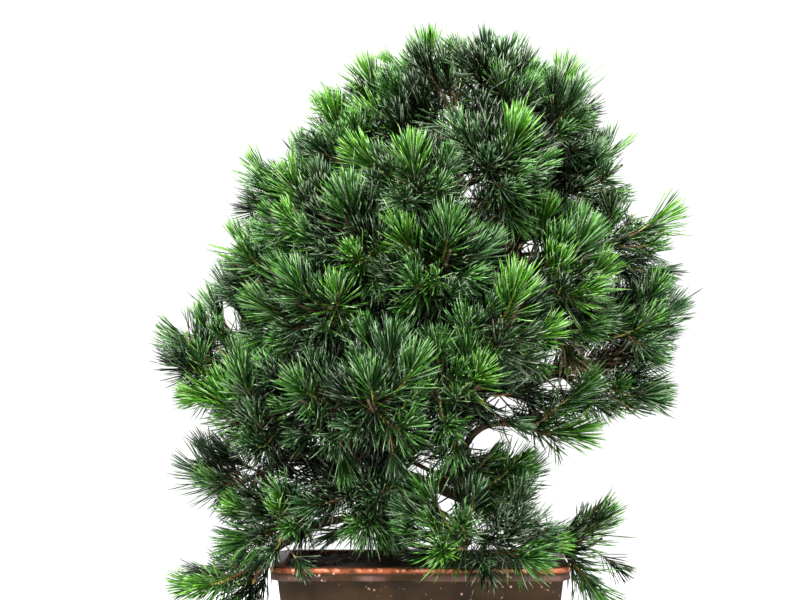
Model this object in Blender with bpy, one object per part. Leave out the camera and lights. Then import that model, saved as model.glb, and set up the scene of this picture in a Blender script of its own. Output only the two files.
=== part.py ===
# An aleppo pine bonsai in its glazed rectangular pot, in metres, +Z up.
# The pot stands on z = 0 with its middle at the origin, and its long front looks along -Y.
# Trunk, boughs, masses of shoots, pot and soil are separate closed solids, 0.3 mm clear of each other.

import itertools
import math
import random

import bmesh
import bpy
import numpy as np

GAP = 0.0003
SEED = 11
GOLDEN_ANGLE = math.radians(137.508)

# The pot: its outer lip, its wall under the lip, and the four corner feet.
POT_LENGTH = 0.277
POT_DEPTH = 0.190
POT_HEIGHT = 0.090
POT_CORNER = 0.022
LIP_HEIGHT = 0.0125
LIP_OVERHANG = 0.0055
LIP_ROUNDING = 0.0025
WALL = 0.0065
WALL_LEAN = 0.011
FLOOR = 0.007
FOOT_HEIGHT = 0.010
FOOT_LENGTH = 0.046
FOOT_DEPTH = 0.034
DRAIN_RADIUS = 0.008
DRAIN_SPREAD = 0.056
CORNER_POINTS = 5

# The soil lies a little below the lip and rises to a low mound under the trunk.
SOIL_BELOW_LIP = 0.005
SOIL_MOUND = 0.0045
SOIL_PATCH = 0.032
SOIL_RINGS = 6

# The trunk bends left, then right: height, sideways and depth of its centre line.
TRUNK_BENDS = (
    (0.000, -0.024, 0.000),
    (0.040, -0.042, 0.002),
    (0.080, -0.064, 0.006),
    (0.130, -0.068, 0.010),
    (0.185, -0.046, 0.008),
    (0.245, -0.012, -0.002),
    (0.310, 0.018, -0.008),
    (0.375, 0.044, -0.004),
    (0.430, 0.062, 0.002),
)
TRUNK_RADIUS = 0.0085
TRUNK_TIP_RADIUS = 0.0022
TRUNK_SIDES = 10
TRUNK_RINGS = 18
FLARE = 0.95
FLARE_HEIGHT = 0.011
ROOT_LOBES = 5
LOBE_DEPTH = 0.22

# Boughs and stems leave the trunk between these heights, the lowest masses from the lowest point.
FIRST_BOUGH = 0.120
LAST_BOUGH = 0.505
BOUGH_SHARE = 0.46
BOUGH_RADIUS = 0.0042
BOUGH_SIDES = 5
BOUGH_RINGS = 6
BOWS = (0.010, 0.022, 0.034, -0.004)
SWAYS = (0.0, -0.012, 0.012, -0.026, 0.026)
STEM_RADIUS = 0.0024
STEM_TIP_RADIUS = 0.0012
STEM_RINGS = 4
ROUTE_POINTS = 15
TWIG_RADIUS = 0.0011
TWIG_SIDES = 3

# A shoot is a slim core that its needles stand out of, each needle broad enough to stand for a spray.
NEEDLE = 0.037
SHORTEST_NEEDLE = 0.011
LEAD_LENGTH = 0.030
SHOOT_LENGTH = 0.022
SHOOT_RADIUS = 0.0030
SUNK = 0.005
SHOOT_SPACING = 0.019
SHOOT_SIDES = 5
LEAN_AT_FOOT = math.radians(84)
LEAN_AT_TIP = math.radians(20)
TWIG_REACH = 0.050
TWIG_ANGLE = math.radians(58)
TWIG_STEP = 0.013
TWIG_TRIES = 32

# No side shoot ends further out from the crown's middle than its mass's leading shoot, less this much,
# nor further out sideways than that shoot or the least spread, whichever is more.
CROWN_MIDDLE = (0.0, 0.0, 0.300)
HELD_BACK = 0.004
LEAST_SPREAD = 0.160

# Each mass: the way it heads (0 right, 90 back, 270 front), how far and how high its leading shoot
# ends, how steeply that shoot points up, its number of shoots, and whether a bough carries it.
FRONT_MASSES = (
    ("low_left_outer", 185, 0.215, 0.066, 5, 3, True),
    ("low_left", 201, 0.181, 0.110, -5, 3, False),
    ("left_reach", 179, 0.209, 0.162, 30, 3, True),
    ("left_lower", 195, 0.191, 0.227, 42, 5, False),
    ("left_tip", 180, 0.232, 0.278, 33, 4, True),
    ("left_mid", 171, 0.202, 0.310, 58, 4, False),
    ("left_upper", 187, 0.177, 0.370, 30, 4, False),
    ("left_shoulder", 173, 0.158, 0.448, 45, 4, True),
    ("shoulder_front", 209, 0.144, 0.430, 50, 4, False),
    ("upper_left", 193, 0.091, 0.494, 62, 4, False),
    ("top_left", 180, 0.046, 0.540, 70, 4, False),
    ("top_centre", 75, 0.031, 0.571, 80, 4, False),
    ("leader", 357, 0.084, 0.565, 86, 5, False),
    ("top_right", 0, 0.144, 0.533, 62, 4, False),
    ("upper_front", 312, 0.128, 0.486, 75, 4, False),
    ("upper_centre", 266, 0.115, 0.462, 65, 5, False),
    ("right_shoulder", 7, 0.196, 0.465, 35, 5, False),
    ("right_upper", 0, 0.230, 0.401, 22, 4, False),
    ("right_tip", 0, 0.237, 0.312, 22, 5, True),
    ("right_middle", 340, 0.177, 0.344, 30, 5, False),
    ("right_lower", 4, 0.218, 0.251, -10, 5, False),
    ("right_front", 330, 0.178, 0.377, 50, 5, False),
    ("front_right", 301, 0.170, 0.331, 60, 5, False),
    ("front_centre", 280, 0.152, 0.380, 35, 5, False),
    ("front_left_upper", 241, 0.144, 0.412, 55, 5, False),
    ("front_left", 226, 0.166, 0.335, 30, 5, False),
    ("front_lower_left", 229, 0.166, 0.245, 20, 5, False),
    ("front_low_centre", 254, 0.172, 0.246, 35, 5, False),
    ("front_low_right", 289, 0.159, 0.259, 20, 5, False),
    ("low_right", 333, 0.099, 0.158, 25, 3, False),
    ("low_right_outer", 353, 0.173, 0.111, 40, 3, True),
    ("low_front_right", 308, 0.158, 0.100, -5, 3, False),
    ("low_front_left", 242, 0.114, 0.130, 5, 4, False),
)

# The back of the crown is filled in tiers: height, reach, shoots' lift, and the headings in the tier.
# A bough carries the first mass of each tier.
BACK_TIERS = (
    (0.130, 0.150, 5, (62, 122)),
    (0.235, 0.169, 20, (90, 42, 138)),
    (0.345, 0.168, 38, (112, 58)),
    (0.435, 0.132, 50, (48, 124)),
)
BACK_SHOOTS = 5

# The bough that arches over to the right is split at its bend, where a thin one hangs down to the front.
ARCH_FOOT = 0.120
ARCH_BEND = (0.041, -0.022, 0.196)
ARCH_END = (0.100, -0.030, 0.215)
ARCH_RADII = (0.0046, 0.0036, 0.0026)
HANGING_END = (0.046, -0.086, 0.116)
HANGING_RADII = (0.0027, 0.0017)
ARCH_MASS = ("right_reach", 348, 0.146, 0.210, 5, 3, True)
HANGING_MASS = ("low_front", 279, 0.127, 0.109, 0, 4, True)


def clear_scene():
    for old in list(bpy.data.objects):
        bpy.data.objects.remove(old, do_unlink=True)


def make_material(name, colour, roughness, metallic=0.0):
    made = bpy.data.materials.new(name)
    made.use_nodes = True
    shader = made.node_tree.nodes["Principled BSDF"]
    shader.inputs["Base Color"].default_value = (*colour, 1.0)
    shader.inputs["Roughness"].default_value = roughness
    shader.inputs["Metallic"].default_value = metallic
    return made


def add_object(name, points, faces, material):
    mesh = bpy.data.meshes.new(name)
    mesh.from_pydata([tuple(point) for point in points], [], faces)
    mesh.update()
    made = bpy.data.objects.new(name, mesh)
    bpy.context.scene.collection.objects.link(made)
    if material:
        mesh.materials.append(material)
    return made


def smooth_line(knots, count):
    """Points spread evenly in parameter along a Catmull-Rom curve through the knots."""
    knots = [np.array(knot, float) for knot in knots]
    knots = [2 * knots[0] - knots[1]] + knots + [2 * knots[-1] - knots[-2]]
    spans = len(knots) - 3
    line = []
    for step in range(count):
        place = step * spans / (count - 1)
        span = min(int(place), spans - 1)
        t = place - span
        a, b, c, d = knots[span : span + 4]
        point = 0.5 * (2 * b + (c - a) * t + (2 * a - 5 * b + 4 * c - d) * t**2)
        line.append(point + 0.5 * (3 * b - a - 3 * c + d) * t**3)
    return np.array(line)


def bezier(start, first, second, end, count):
    t = np.linspace(0, 1, count)[:, None]
    s = 1 - t
    return s**3 * start + 3 * s**2 * t * first + 3 * s * t**2 * second + t**3 * end


def unit(vector):
    return np.array(vector, float) / np.linalg.norm(vector)


def heading_vector(heading, lift):
    """Unit vector for a compass heading in the XY plane and a lift above it, both in degrees."""
    turn = math.radians(heading)
    rise = math.radians(lift)
    flat = math.cos(rise)
    return np.array([flat * math.cos(turn), flat * math.sin(turn), math.sin(rise)])


def side_vectors(axis):
    """Two unit vectors square to the axis and to each other."""
    guide = (0, 0, 1) if abs(axis[2]) < 0.9 else (1, 0, 0)
    first = unit(np.cross(guide, axis))
    return first, np.cross(axis, first)


def tube(line, radii, sides, first_normal=None):
    """Points and faces of a closed tube along the line. Its first ring may lie square to another axis."""
    tangents = np.gradient(line, axis=0)
    across, _ = side_vectors(unit(tangents[0]))
    points = []
    for index, (centre, radius) in enumerate(zip(line, radii)):
        axis = unit(tangents[index])
        if index == 0 and first_normal is not None:
            axis = unit(first_normal)
        across = unit(across - axis * np.dot(across, axis))
        up = np.cross(axis, across)
        for side in range(sides):
            turn = math.tau * side / sides
            outward = math.cos(turn) * across + math.sin(turn) * up
            points.append(centre + radius * outward)
    rings = len(line)
    faces = [tuple(range(sides - 1, -1, -1))]
    for ring in range(rings - 1):
        for side in range(sides):
            low = ring * sides + side
            low_next = ring * sides + (side + 1) % sides
            faces.append((low, low_next, low_next + sides, low + sides))
    faces.append(tuple((rings - 1) * sides + side for side in range(sides)))
    return points, faces


def segment_gaps(start, end, starts, ends, radii):
    """Clear distance from one segment to each of many segments that carry a radius."""
    first = end - start
    second = ends - starts
    between = start - starts
    a = max(first @ first, 1e-12)
    e = np.maximum((second * second).sum(1), 1e-12)
    b = second @ first
    c = between @ first
    f = (second * between).sum(1)
    spread = np.maximum(a * e - b * b, 1e-14)
    s = np.clip((b * f - c * e) / spread, 0, 1)
    t = np.clip((b * s + f) / e, 0, 1)
    s = np.clip((b * t - c) / a, 0, 1)
    apart = between + s[:, None] * first - t[:, None] * second
    return np.linalg.norm(apart, axis=1) - radii


class Limbs:
    """Every limb as short straight lengths with a radius, so that new growth can keep clear of them."""

    def __init__(self):
        self.starts = np.zeros((0, 3))
        self.ends = np.zeros((0, 3))
        self.radii = np.zeros(0)
        self.owners = []

    def add(self, owner, line, radii):
        self.starts = np.vstack([self.starts, line[:-1]])
        self.ends = np.vstack([self.ends, line[1:]])
        self.radii = np.append(self.radii, np.maximum(radii[:-1], radii[1:]))
        self.owners += [owner] * (len(line) - 1)

    def others(self, owner):
        keep = np.array([name != owner for name in self.owners])
        return self.starts[keep], self.ends[keep], self.radii[keep]


def outside_pot(points, margin):
    """True where every point is clear of the box round the pot and the mound of soil."""
    top = POT_HEIGHT - SOIL_BELOW_LIP + 2 * SOIL_MOUND + margin
    in_length = np.abs(points[:, 0]) < POT_LENGTH / 2 + margin
    in_depth = np.abs(points[:, 1]) < POT_DEPTH / 2 + margin
    return not np.any(in_length & in_depth & (points[:, 2] < top))


def rounded_outline(length, depth, corner):
    """Points of a rectangle with round corners, anticlockwise from its right side."""
    outline = []
    corners = ((1, 1), (-1, 1), (-1, -1), (1, -1))
    for quarter, (x_side, y_side) in enumerate(corners):
        for step in range(CORNER_POINTS):
            turn = math.pi / 2 * (quarter + step / (CORNER_POINTS - 1))
            x = x_side * (length / 2 - corner) + corner * math.cos(turn)
            y = y_side * (depth / 2 - corner) + corner * math.sin(turn)
            outline.append((x, y))
    return outline


def loft(rings):
    """Points and faces of a closed body through rings that have the same number of points."""
    count = len(rings[0])
    points = [point for ring in rings for point in ring]
    faces = [tuple(range(count - 1, -1, -1))]
    for ring in range(len(rings) - 1):
        for index in range(count):
            low = ring * count + index
            low_next = ring * count + (index + 1) % count
            faces.append((low, low_next, low_next + count, low + count))
    faces.append(tuple((len(rings) - 1) * count + index for index in range(count)))
    return points, faces


def inset_ring(inset, height):
    """The pot's lip outline drawn in by a distance, at a height."""
    corner = max(POT_CORNER - inset, 0.004)
    outline = rounded_outline(POT_LENGTH - 2 * inset, POT_DEPTH - 2 * inset, corner)
    return [(x, y, height) for x, y in outline]


def wall_inset(height):
    """How far the outer wall lies inside the lip's edge at a height, as it leans in towards its foot."""
    share = (POT_HEIGHT - height) / (POT_HEIGHT - FOOT_HEIGHT)
    return LIP_OVERHANG + WALL_LEAN * share**1.3


def add_cutter(name, points, faces):
    cutter = add_object(name, points, faces, None)
    cutter.hide_render = True
    cutter.display_type = "WIRE"
    return cutter


def box(low, high):
    points = [(x, y, z) for z, y, x in itertools.product(*zip(low[::-1], high[::-1]))]
    faces = [(0, 2, 3, 1), (4, 5, 7, 6), (0, 1, 5, 4), (2, 6, 7, 3), (0, 4, 6, 2), (1, 3, 7, 5)]
    return points, faces


def add_boolean(target, name, operation, tool):
    modifier = target.modifiers.new(name, "BOOLEAN")
    modifier.operation = operation
    modifier.solver = "EXACT"
    modifier.object = tool


def make_pot(material):
    lip_foot = POT_HEIGHT - LIP_HEIGHT
    inner = LIP_OVERHANG + WALL
    rings = [
        inset_ring(wall_inset(FOOT_HEIGHT) + 0.003, FOOT_HEIGHT),
        inset_ring(wall_inset(FOOT_HEIGHT + 0.003), FOOT_HEIGHT + 0.003),
        inset_ring(wall_inset(POT_HEIGHT / 2), POT_HEIGHT / 2),
        inset_ring(wall_inset(lip_foot), lip_foot - 0.001),
        inset_ring(0.0012, lip_foot),
        inset_ring(0.0, lip_foot + 0.0015),
        inset_ring(0.0, POT_HEIGHT - LIP_ROUNDING),
        inset_ring(LIP_ROUNDING * 0.3, POT_HEIGHT - LIP_ROUNDING * 0.3),
        inset_ring(LIP_ROUNDING, POT_HEIGHT),
        inset_ring(inner - 0.001, POT_HEIGHT),
        inset_ring(inner, POT_HEIGHT - 0.001),
        inset_ring(wall_inset(POT_HEIGHT / 2) + WALL, POT_HEIGHT / 2),
        inset_ring(wall_inset(FOOT_HEIGHT) + WALL, FOOT_HEIGHT + FLOOR),
    ]
    pot = add_object("pot", *loft(rings), material)
    foot_inset = wall_inset(FOOT_HEIGHT) + 0.006
    slab_rings = [
        inset_ring(foot_inset + 0.0015, 0.0),
        inset_ring(foot_inset, FOOT_HEIGHT + 0.001),
    ]
    add_boolean(pot, "feet", "UNION", add_cutter("foot_slab", *loft(slab_rings)))
    half_length = POT_LENGTH / 2 - foot_inset - FOOT_LENGTH
    half_depth = POT_DEPTH / 2 - foot_inset - FOOT_DEPTH
    along = box((-half_length, -POT_DEPTH, -0.01), (half_length, POT_DEPTH, FOOT_HEIGHT))
    across = box((-POT_LENGTH, -half_depth, -0.01), (POT_LENGTH, half_depth, FOOT_HEIGHT))
    add_boolean(pot, "arch_along", "DIFFERENCE", add_cutter("arch_along_cutter", *along))
    add_boolean(pot, "arch_across", "DIFFERENCE", add_cutter("arch_across_cutter", *across))
    for side in (-1, 1):
        place = side * DRAIN_SPREAD
        line = np.array([(place, 0, -0.01), (place, 0, FOOT_HEIGHT + 2 * FLOOR)])
        hole = add_cutter(f"drain_cutter_{side + 1}", *tube(line, (DRAIN_RADIUS, DRAIN_RADIUS), 12))
        add_boolean(pot, f"drain_{side + 1}", "DIFFERENCE", hole)
    return pot


def soil_height(share):
    """Height of the soil from its edge (0) to the flat patch under the trunk (1)."""
    rise = share * share * (3 - 2 * share)
    return POT_HEIGHT - SOIL_BELOW_LIP + 2 * SOIL_MOUND * rise


def soil_patch_point(index, count):
    turn = math.tau * (index + 0.5) / count - math.pi / count
    return SOIL_PATCH * math.cos(turn) + TRUNK_BENDS[0][1], SOIL_PATCH * math.sin(turn)


def make_soil(material):
    """Fills the pot from its floor to the mound, clear of the wall and the floor."""
    clear = 1.3 * GAP
    top_edge = POT_HEIGHT - SOIL_BELOW_LIP
    floor_top = FOOT_HEIGHT + FLOOR
    half = POT_HEIGHT / 2
    top_share = (top_edge - half) / (POT_HEIGHT - 0.001 - half)
    top_inset = wall_inset(half) + WALL + (LIP_OVERHANG - wall_inset(half)) * top_share
    rings = [
        inset_ring(wall_inset(FOOT_HEIGHT) + WALL + clear, floor_top + clear),
        inset_ring(wall_inset(half) + WALL + clear, half),
        inset_ring(top_inset + clear, top_edge),
    ]
    edge = rings[-1]
    for ring in range(1, SOIL_RINGS + 1):
        share = ring / SOIL_RINGS
        row = []
        for index, (x, y, _) in enumerate(edge):
            patch_x, patch_y = soil_patch_point(index, len(edge))
            row.append((x + (patch_x - x) * share, y + (patch_y - y) * share, soil_height(share)))
        rings.append(row)
    return add_object("soil", *loft(rings), material)


def trunk_foot():
    return soil_height(1.0) + GAP


def trunk_line():
    knots = [(x, y, trunk_foot() + z) for z, x, y in TRUNK_BENDS]
    return smooth_line(knots, TRUNK_RINGS)


def trunk_radii(line):
    climb = (line[:, 2] - line[0, 2]) / (line[-1, 2] - line[0, 2])
    return TRUNK_TIP_RADIUS + (TRUNK_RADIUS - TRUNK_TIP_RADIUS) * (1 - climb) ** 0.85


def flare_at(climb):
    """How much wider the root flare makes the trunk at a height above its foot."""
    return FLARE * np.exp(-climb / FLARE_HEIGHT)


def make_trunk(line, radii, material):
    """Tapered trunk with a level foot that spreads into root lobes."""
    points, faces = tube(line, radii, TRUNK_SIDES, first_normal=(0, 0, 1))
    for index, point in enumerate(points):
        centre = line[index // TRUNK_SIDES]
        outward = point - centre
        turn = math.atan2(outward[1], outward[0])
        lobe = 1 + LOBE_DEPTH * math.cos(ROOT_LOBES * turn)
        spread = 1 + flare_at(point[2] - line[0, 2]) * lobe
        points[index] = centre + outward * np.array([spread, spread, 1])
    return add_object("trunk", points, faces, material)


def widest_radii(line, radii):
    """The trunk's radii out to its root lobes, which limbs keep clear of."""
    return radii * (1 + flare_at(line[:, 2] - line[0, 2]) * (1 + LOBE_DEPTH))


def trunk_at(line, radii, height):
    """Centre and radius of the trunk at a height."""
    centre = np.array([np.interp(height, line[:, 2], line[:, axis]) for axis in range(3)])
    return centre, float(np.interp(height, line[:, 2], radii))


def trunk_side(trunk, height, out, limb_radius):
    """Where a limb leaves the trunk's side on its way out, and the normal of the side there."""
    centre, _ = trunk_at(*trunk, height)
    _, radius = trunk_at(*trunk, height - limb_radius)
    rise = unit(trunk_at(*trunk, height + 0.004)[0] - centre)
    normal = unit(out - rise * np.dot(out, rise))
    return centre + normal * (radius + 2 * GAP), normal


def bud_of(row):
    _, heading, reach, height, _, _, _ = row
    turn = math.radians(heading)
    return np.array([reach * math.cos(turn), reach * math.sin(turn), height])


def route_from_trunk(row, trunk, height, bow, sway):
    """Curve from the trunk's surface to the bud, setting out level or rising and ending along the shoot."""
    centre, _ = trunk_at(*trunk, height)
    bud = bud_of(row)
    out = bud - centre
    out[2] = 0
    distance = np.linalg.norm(bud - centre)
    level = np.linalg.norm(out)
    out = out / level if level > 0.02 else heading_vector(row[1], 0)
    start, normal = trunk_side(trunk, height, out, STEM_RADIUS)
    shoot = heading_vector(row[1], row[4])
    aside = np.array([-out[1], out[0], 0]) * sway
    first = start + out * min(0.4 * distance, 0.8 * level) + aside + np.array([0, 0, bow])
    second = bud - shoot * 0.34 * distance
    return bezier(start, first, second, bud, ROUTE_POINTS), normal


def limb_radii(count, start, end):
    return start + (end - start) * np.linspace(0, 1, count)


def route_is_clear(line, radii, limbs):
    for index in range(len(line) - 1):
        starts, ends, reach = limbs.others("trunk" if index < 3 else None)
        gaps = segment_gaps(line[index], line[index + 1], starts, ends, reach)
        if gaps.size and gaps.min() < radii[index] + 2 * GAP:
            return False
    return all(outside_pot(line[index : index + 1], radii[index]) for index in range(len(line)))


def attach_height(row):
    """The lowest masses hang from the lowest boughs and the highest rise from the highest."""
    low, high = 0.066, 0.571
    share = (row[3] - low) / (high - low)
    return FIRST_BOUGH + (LAST_BOUGH - FIRST_BOUGH) * min(max(share, 0), 1)


def settled_route(row, trunk, limbs):
    """Tries the rule's height first, then heights and bows round it, until the limb touches nothing."""
    wanted = attach_height(row)
    width = limb_radii(ROUTE_POINTS, BOUGH_RADIUS if row[6] else STEM_RADIUS, STEM_TIP_RADIUS)
    shifts = sorted((0.006 * step for step in range(-8, 9)), key=abs)
    for bow, sway, shift in itertools.product(BOWS, SWAYS, shifts):
        height = min(max(wanted + shift, FIRST_BOUGH), LAST_BOUGH)
        line, out = route_from_trunk(row, trunk, height, bow, sway)
        if route_is_clear(line, width, limbs):
            return line, width, out
    raise ValueError(f"no clear way for the limb of {row[0]}")


def run_along(line):
    """Distance along a line at each of its points."""
    return np.concatenate([[0], np.cumsum(np.linalg.norm(np.diff(line, axis=0), axis=1))])


def point_along(line, place):
    """Points at one or more distances along a line."""
    along = run_along(line)
    return np.stack([np.interp(place, along, line[:, axis]) for axis in range(3)], axis=-1)


def stretch(line, radii, low, high, count):
    """A stretch of a limb between two distances along it, as evenly spaced points and radii."""
    places = np.linspace(low, high, count)
    return point_along(line, places), np.interp(places, run_along(line), radii)


def split_line(line, radii, share):
    """Cuts a limb in two at a share of its length, with the gap between the two ends."""
    length = run_along(line)[-1]
    cut = share * length
    return stretch(line, radii, 0, cut, BOUGH_RINGS), stretch(line, radii, cut + GAP, length, ROUTE_POINTS)


def cell_walls(index, centres, spreads):
    """The flat walls between a mass and its neighbours: unit normals, and how far out each wall stands."""
    own = centres[index]
    normals, places = [], []
    for other, centre in enumerate(centres):
        if other == index:
            continue
        apart = centre - own
        distance = np.linalg.norm(apart)
        normals.append(apart / distance)
        places.append((distance**2 + spreads[index] ** 2 - spreads[other] ** 2) / (2 * distance))
    return np.array(normals), np.array(places) + np.array(normals) @ own


def room(walls, point):
    """Distance from a point inside a mass's own space to each wall of that space."""
    normals, places = walls
    return places - normals @ point - GAP


class Mass:
    """One mass of foliage while it grows: its own space, what it has to miss, and its pieces so far."""

    def __init__(self, row, walls, limbs):
        self.walls = walls
        self.others = limbs.others(row[0])
        self.shoots = []
        self.twigs = []
        self.needles = []

    def limb_gap(self, start, end):
        return segment_gaps(start, end, *self.others).min()

    def shoot_gap(self, start, end):
        if not self.shoots:
            return 1.0
        starts = np.array([shoot[0] for shoot in self.shoots])
        ends = np.array([shoot[1] for shoot in self.shoots])
        return segment_gaps(start, end, starts, ends, np.zeros(len(starts))).min()

    def fits(self, start, end, radius):
        """Whether a twig or a shoot's core stays in its space and touches no limb."""
        middle = (start + end) / 2
        return (
            room(self.walls, end).min() > radius + 0.0015
            and self.limb_gap(start, end) > radius + 0.0012
            and outside_pot(np.array([start, middle, end]), radius + 0.002)
        )


def needle_share(mass, foot_points, tip):
    """The share of a needle that fits, cut back from the walls of the space and from limbs."""
    foot = np.mean(foot_points, axis=0)
    inside = room(mass.walls, foot)
    beyond = room(mass.walls, tip)
    crossed = beyond < 0
    share = 1.0
    if np.any(crossed):
        share = float(np.min(inside[crossed] / (inside[crossed] - beyond[crossed]))) * 0.99
    while share > 0.25:
        end = foot + (tip - foot) * share
        gap = min(mass.limb_gap(point, end) for point in foot_points)
        steps = foot + (end - foot) * np.linspace(0, 1, 5)[:, None]
        if gap > 0.0008 and outside_pot(steps, 0.001):
            return share
        share -= 0.15
    return 0.0


def crosses_own(mass, foot, tip, own):
    """Whether a needle would run into a needle or a shoot of the same mass."""
    near = [needle for needle in mass.needles if needle[0] != own]
    for number, (shoot_foot, shoot_tip) in enumerate(mass.shoots):
        if number != own:
            near.append((number, shoot_foot, shoot_tip, SHOOT_RADIUS))
    if not near:
        return False
    starts = np.array([item[1] for item in near])
    ends = np.array([item[2] for item in near])
    widths = np.array([item[3] for item in near])
    return segment_gaps(foot, tip, starts, ends, widths).min() < 0.0006


def core_points(foot, axis, length):
    """The foot ring of a shoot's slim core, its wider middle ring half a step round, and its tip."""
    first, second = side_vectors(axis)
    points = []
    for ring, (along, swell) in enumerate(((0, 0.85), (0.57 * length, 1.0))):
        for side in range(SHOOT_SIDES):
            turn = math.tau * (side + ring / 2) / SHOOT_SIDES
            across = math.cos(turn) * first + math.sin(turn) * second
            points.append(foot + axis * along + across * SHOOT_RADIUS * swell)
    points.append(foot + axis * length)
    return points


def core_faces():
    """The foot's face, and the triangles that each carry one needle."""
    faces = []
    for side in range(SHOOT_SIDES):
        side_next = (side + 1) % SHOOT_SIDES
        high, high_next = SHOOT_SIDES + side, SHOOT_SIDES + side_next
        faces += [(side, side_next, high), (side_next, high_next, high)]
        faces.append((high, high_next, 2 * SHOOT_SIDES))
    return tuple(range(SHOOT_SIDES - 1, -1, -1)), faces


def grow_shoot(mass, number, chance):
    """Points and faces of one shoot, its needles drawn out from the faces of its core."""
    foot, tip = mass.shoots[number]
    length = np.linalg.norm(tip - foot)
    axis = (tip - foot) / length
    points = core_points(foot, axis, length)
    foot_face, carriers = core_faces()
    faces = [foot_face]
    for face in carriers:
        corners = [points[index] for index in face]
        root = np.mean(corners, axis=0)
        along = float((root - foot) @ axis)
        outward = unit(root - foot - along * axis)
        lean = LEAN_AT_FOOT + (LEAN_AT_TIP - LEAN_AT_FOOT) * (along / length) ** 0.8
        lean += chance.uniform(-0.09, 0.09)
        reach = NEEDLE * chance.uniform(0.90, 1.06)
        needle_tip = root + reach * (math.cos(lean) * axis + math.sin(lean) * outward)
        share = needle_share(mass, corners, needle_tip)
        end = root + (needle_tip - root) * share
        if share * reach < SHORTEST_NEEDLE or crosses_own(mass, root + 0.1 * (end - root), end, number):
            faces.append(face)
            continue
        mass.needles.append((number, root, end, 0.0006))
        points.append(end)
        last = len(points) - 1
        a, b, c = face
        faces += [(a, b, last), (b, c, last), (c, a, last)]
    return points, faces


def place_side_shoots(mass, row, stem, chance):
    """Branches the stem by a golden-angle rule into twigs that each end in a shoot."""
    lead = heading_vector(row[1], row[4])
    outward = unit(bud_of(row) - CROWN_MIDDLE)
    furthest = outward @ bud_of(row) - HELD_BACK
    length = run_along(stem)[-1]
    turn = chance.uniform(0, math.tau)
    for shoot in range(1, row[5]):
        for attempt in range(TWIG_TRIES):
            back = 0.008 + TWIG_STEP * (shoot - 1 + attempt // 8)
            place = max(length - back, 0.2 * length)
            start = point_along(stem, place)
            axis = unit(point_along(stem, place + 0.004) - start)
            first, second = side_vectors(axis)
            angle = turn + shoot * GOLDEN_ANGLE + attempt * 0.45
            side = math.cos(angle) * first + math.sin(angle) * second
            reach = TWIG_REACH * (1 - 0.04 * (attempt % 4)) * (0.85 + 0.1 * (shoot % 3))
            out = unit(math.cos(TWIG_ANGLE) * axis + math.sin(TWIG_ANGLE) * side)
            late = unit(out + 0.45 * lead + np.array([0, 0, 0.25]))
            end = start + (out + late) * reach / 2
            tip = end + late * SHOOT_LENGTH
            if outward @ tip > furthest or math.hypot(tip[0], tip[1]) > max(row[2], LEAST_SPREAD):
                continue
            if mass.shoot_gap(end, tip) < SHOOT_SPACING:
                continue
            off_stem = start + 0.1 * (end - start)
            if mass.fits(off_stem, end, TWIG_RADIUS) and mass.fits(end, tip, SHOOT_RADIUS):
                mass.shoots.append((end, tip))
                mass.twigs.append(np.array([start, end + SUNK * late]))
                break


def remove_object(item):
    mesh = item.data
    bpy.data.objects.remove(item, do_unlink=True)
    bpy.data.meshes.remove(mesh)


def keep_main_body(mesh):
    """Drops loose scraps and the walls of sealed hollows, so that one body is left."""
    form = bmesh.new()
    form.from_mesh(mesh)
    left = set(form.verts)
    bodies = []
    while left:
        queue = [left.pop()]
        body = set(queue)
        while queue:
            vert = queue.pop()
            for edge in vert.link_edges:
                other = edge.other_vert(vert)
                if other in left:
                    left.discard(other)
                    body.add(other)
                    queue.append(other)
        bodies.append(body)
    bodies.sort(key=len)
    for body in bodies[:-1]:
        bmesh.ops.delete(form, geom=list(body), context="VERTS")
    form.to_mesh(mesh)
    form.free()


def fuse(name, pieces):
    """Joins a mass's overlapping pieces into one closed body by a Boolean union on a collection."""
    stem = pieces[0]
    group = bpy.data.collections.new(name + "_pieces")
    bpy.context.scene.collection.children.link(group)
    for piece in pieces[1:]:
        bpy.context.scene.collection.objects.unlink(piece)
        group.objects.link(piece)
    modifier = stem.modifiers.new("join", "BOOLEAN")
    modifier.operation = "UNION"
    modifier.solver = "EXACT"
    modifier.operand_type = "COLLECTION"
    modifier.collection = group
    graph = bpy.context.evaluated_depsgraph_get()
    joined = bpy.data.meshes.new_from_object(stem.evaluated_get(graph))
    stem.modifiers.clear()
    old = stem.data
    stem.data = joined
    bpy.data.meshes.remove(old)
    joined.name = name
    for piece in pieces[1:]:
        remove_object(piece)
    bpy.data.collections.remove(group)
    keep_main_body(joined)
    return stem


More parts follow.
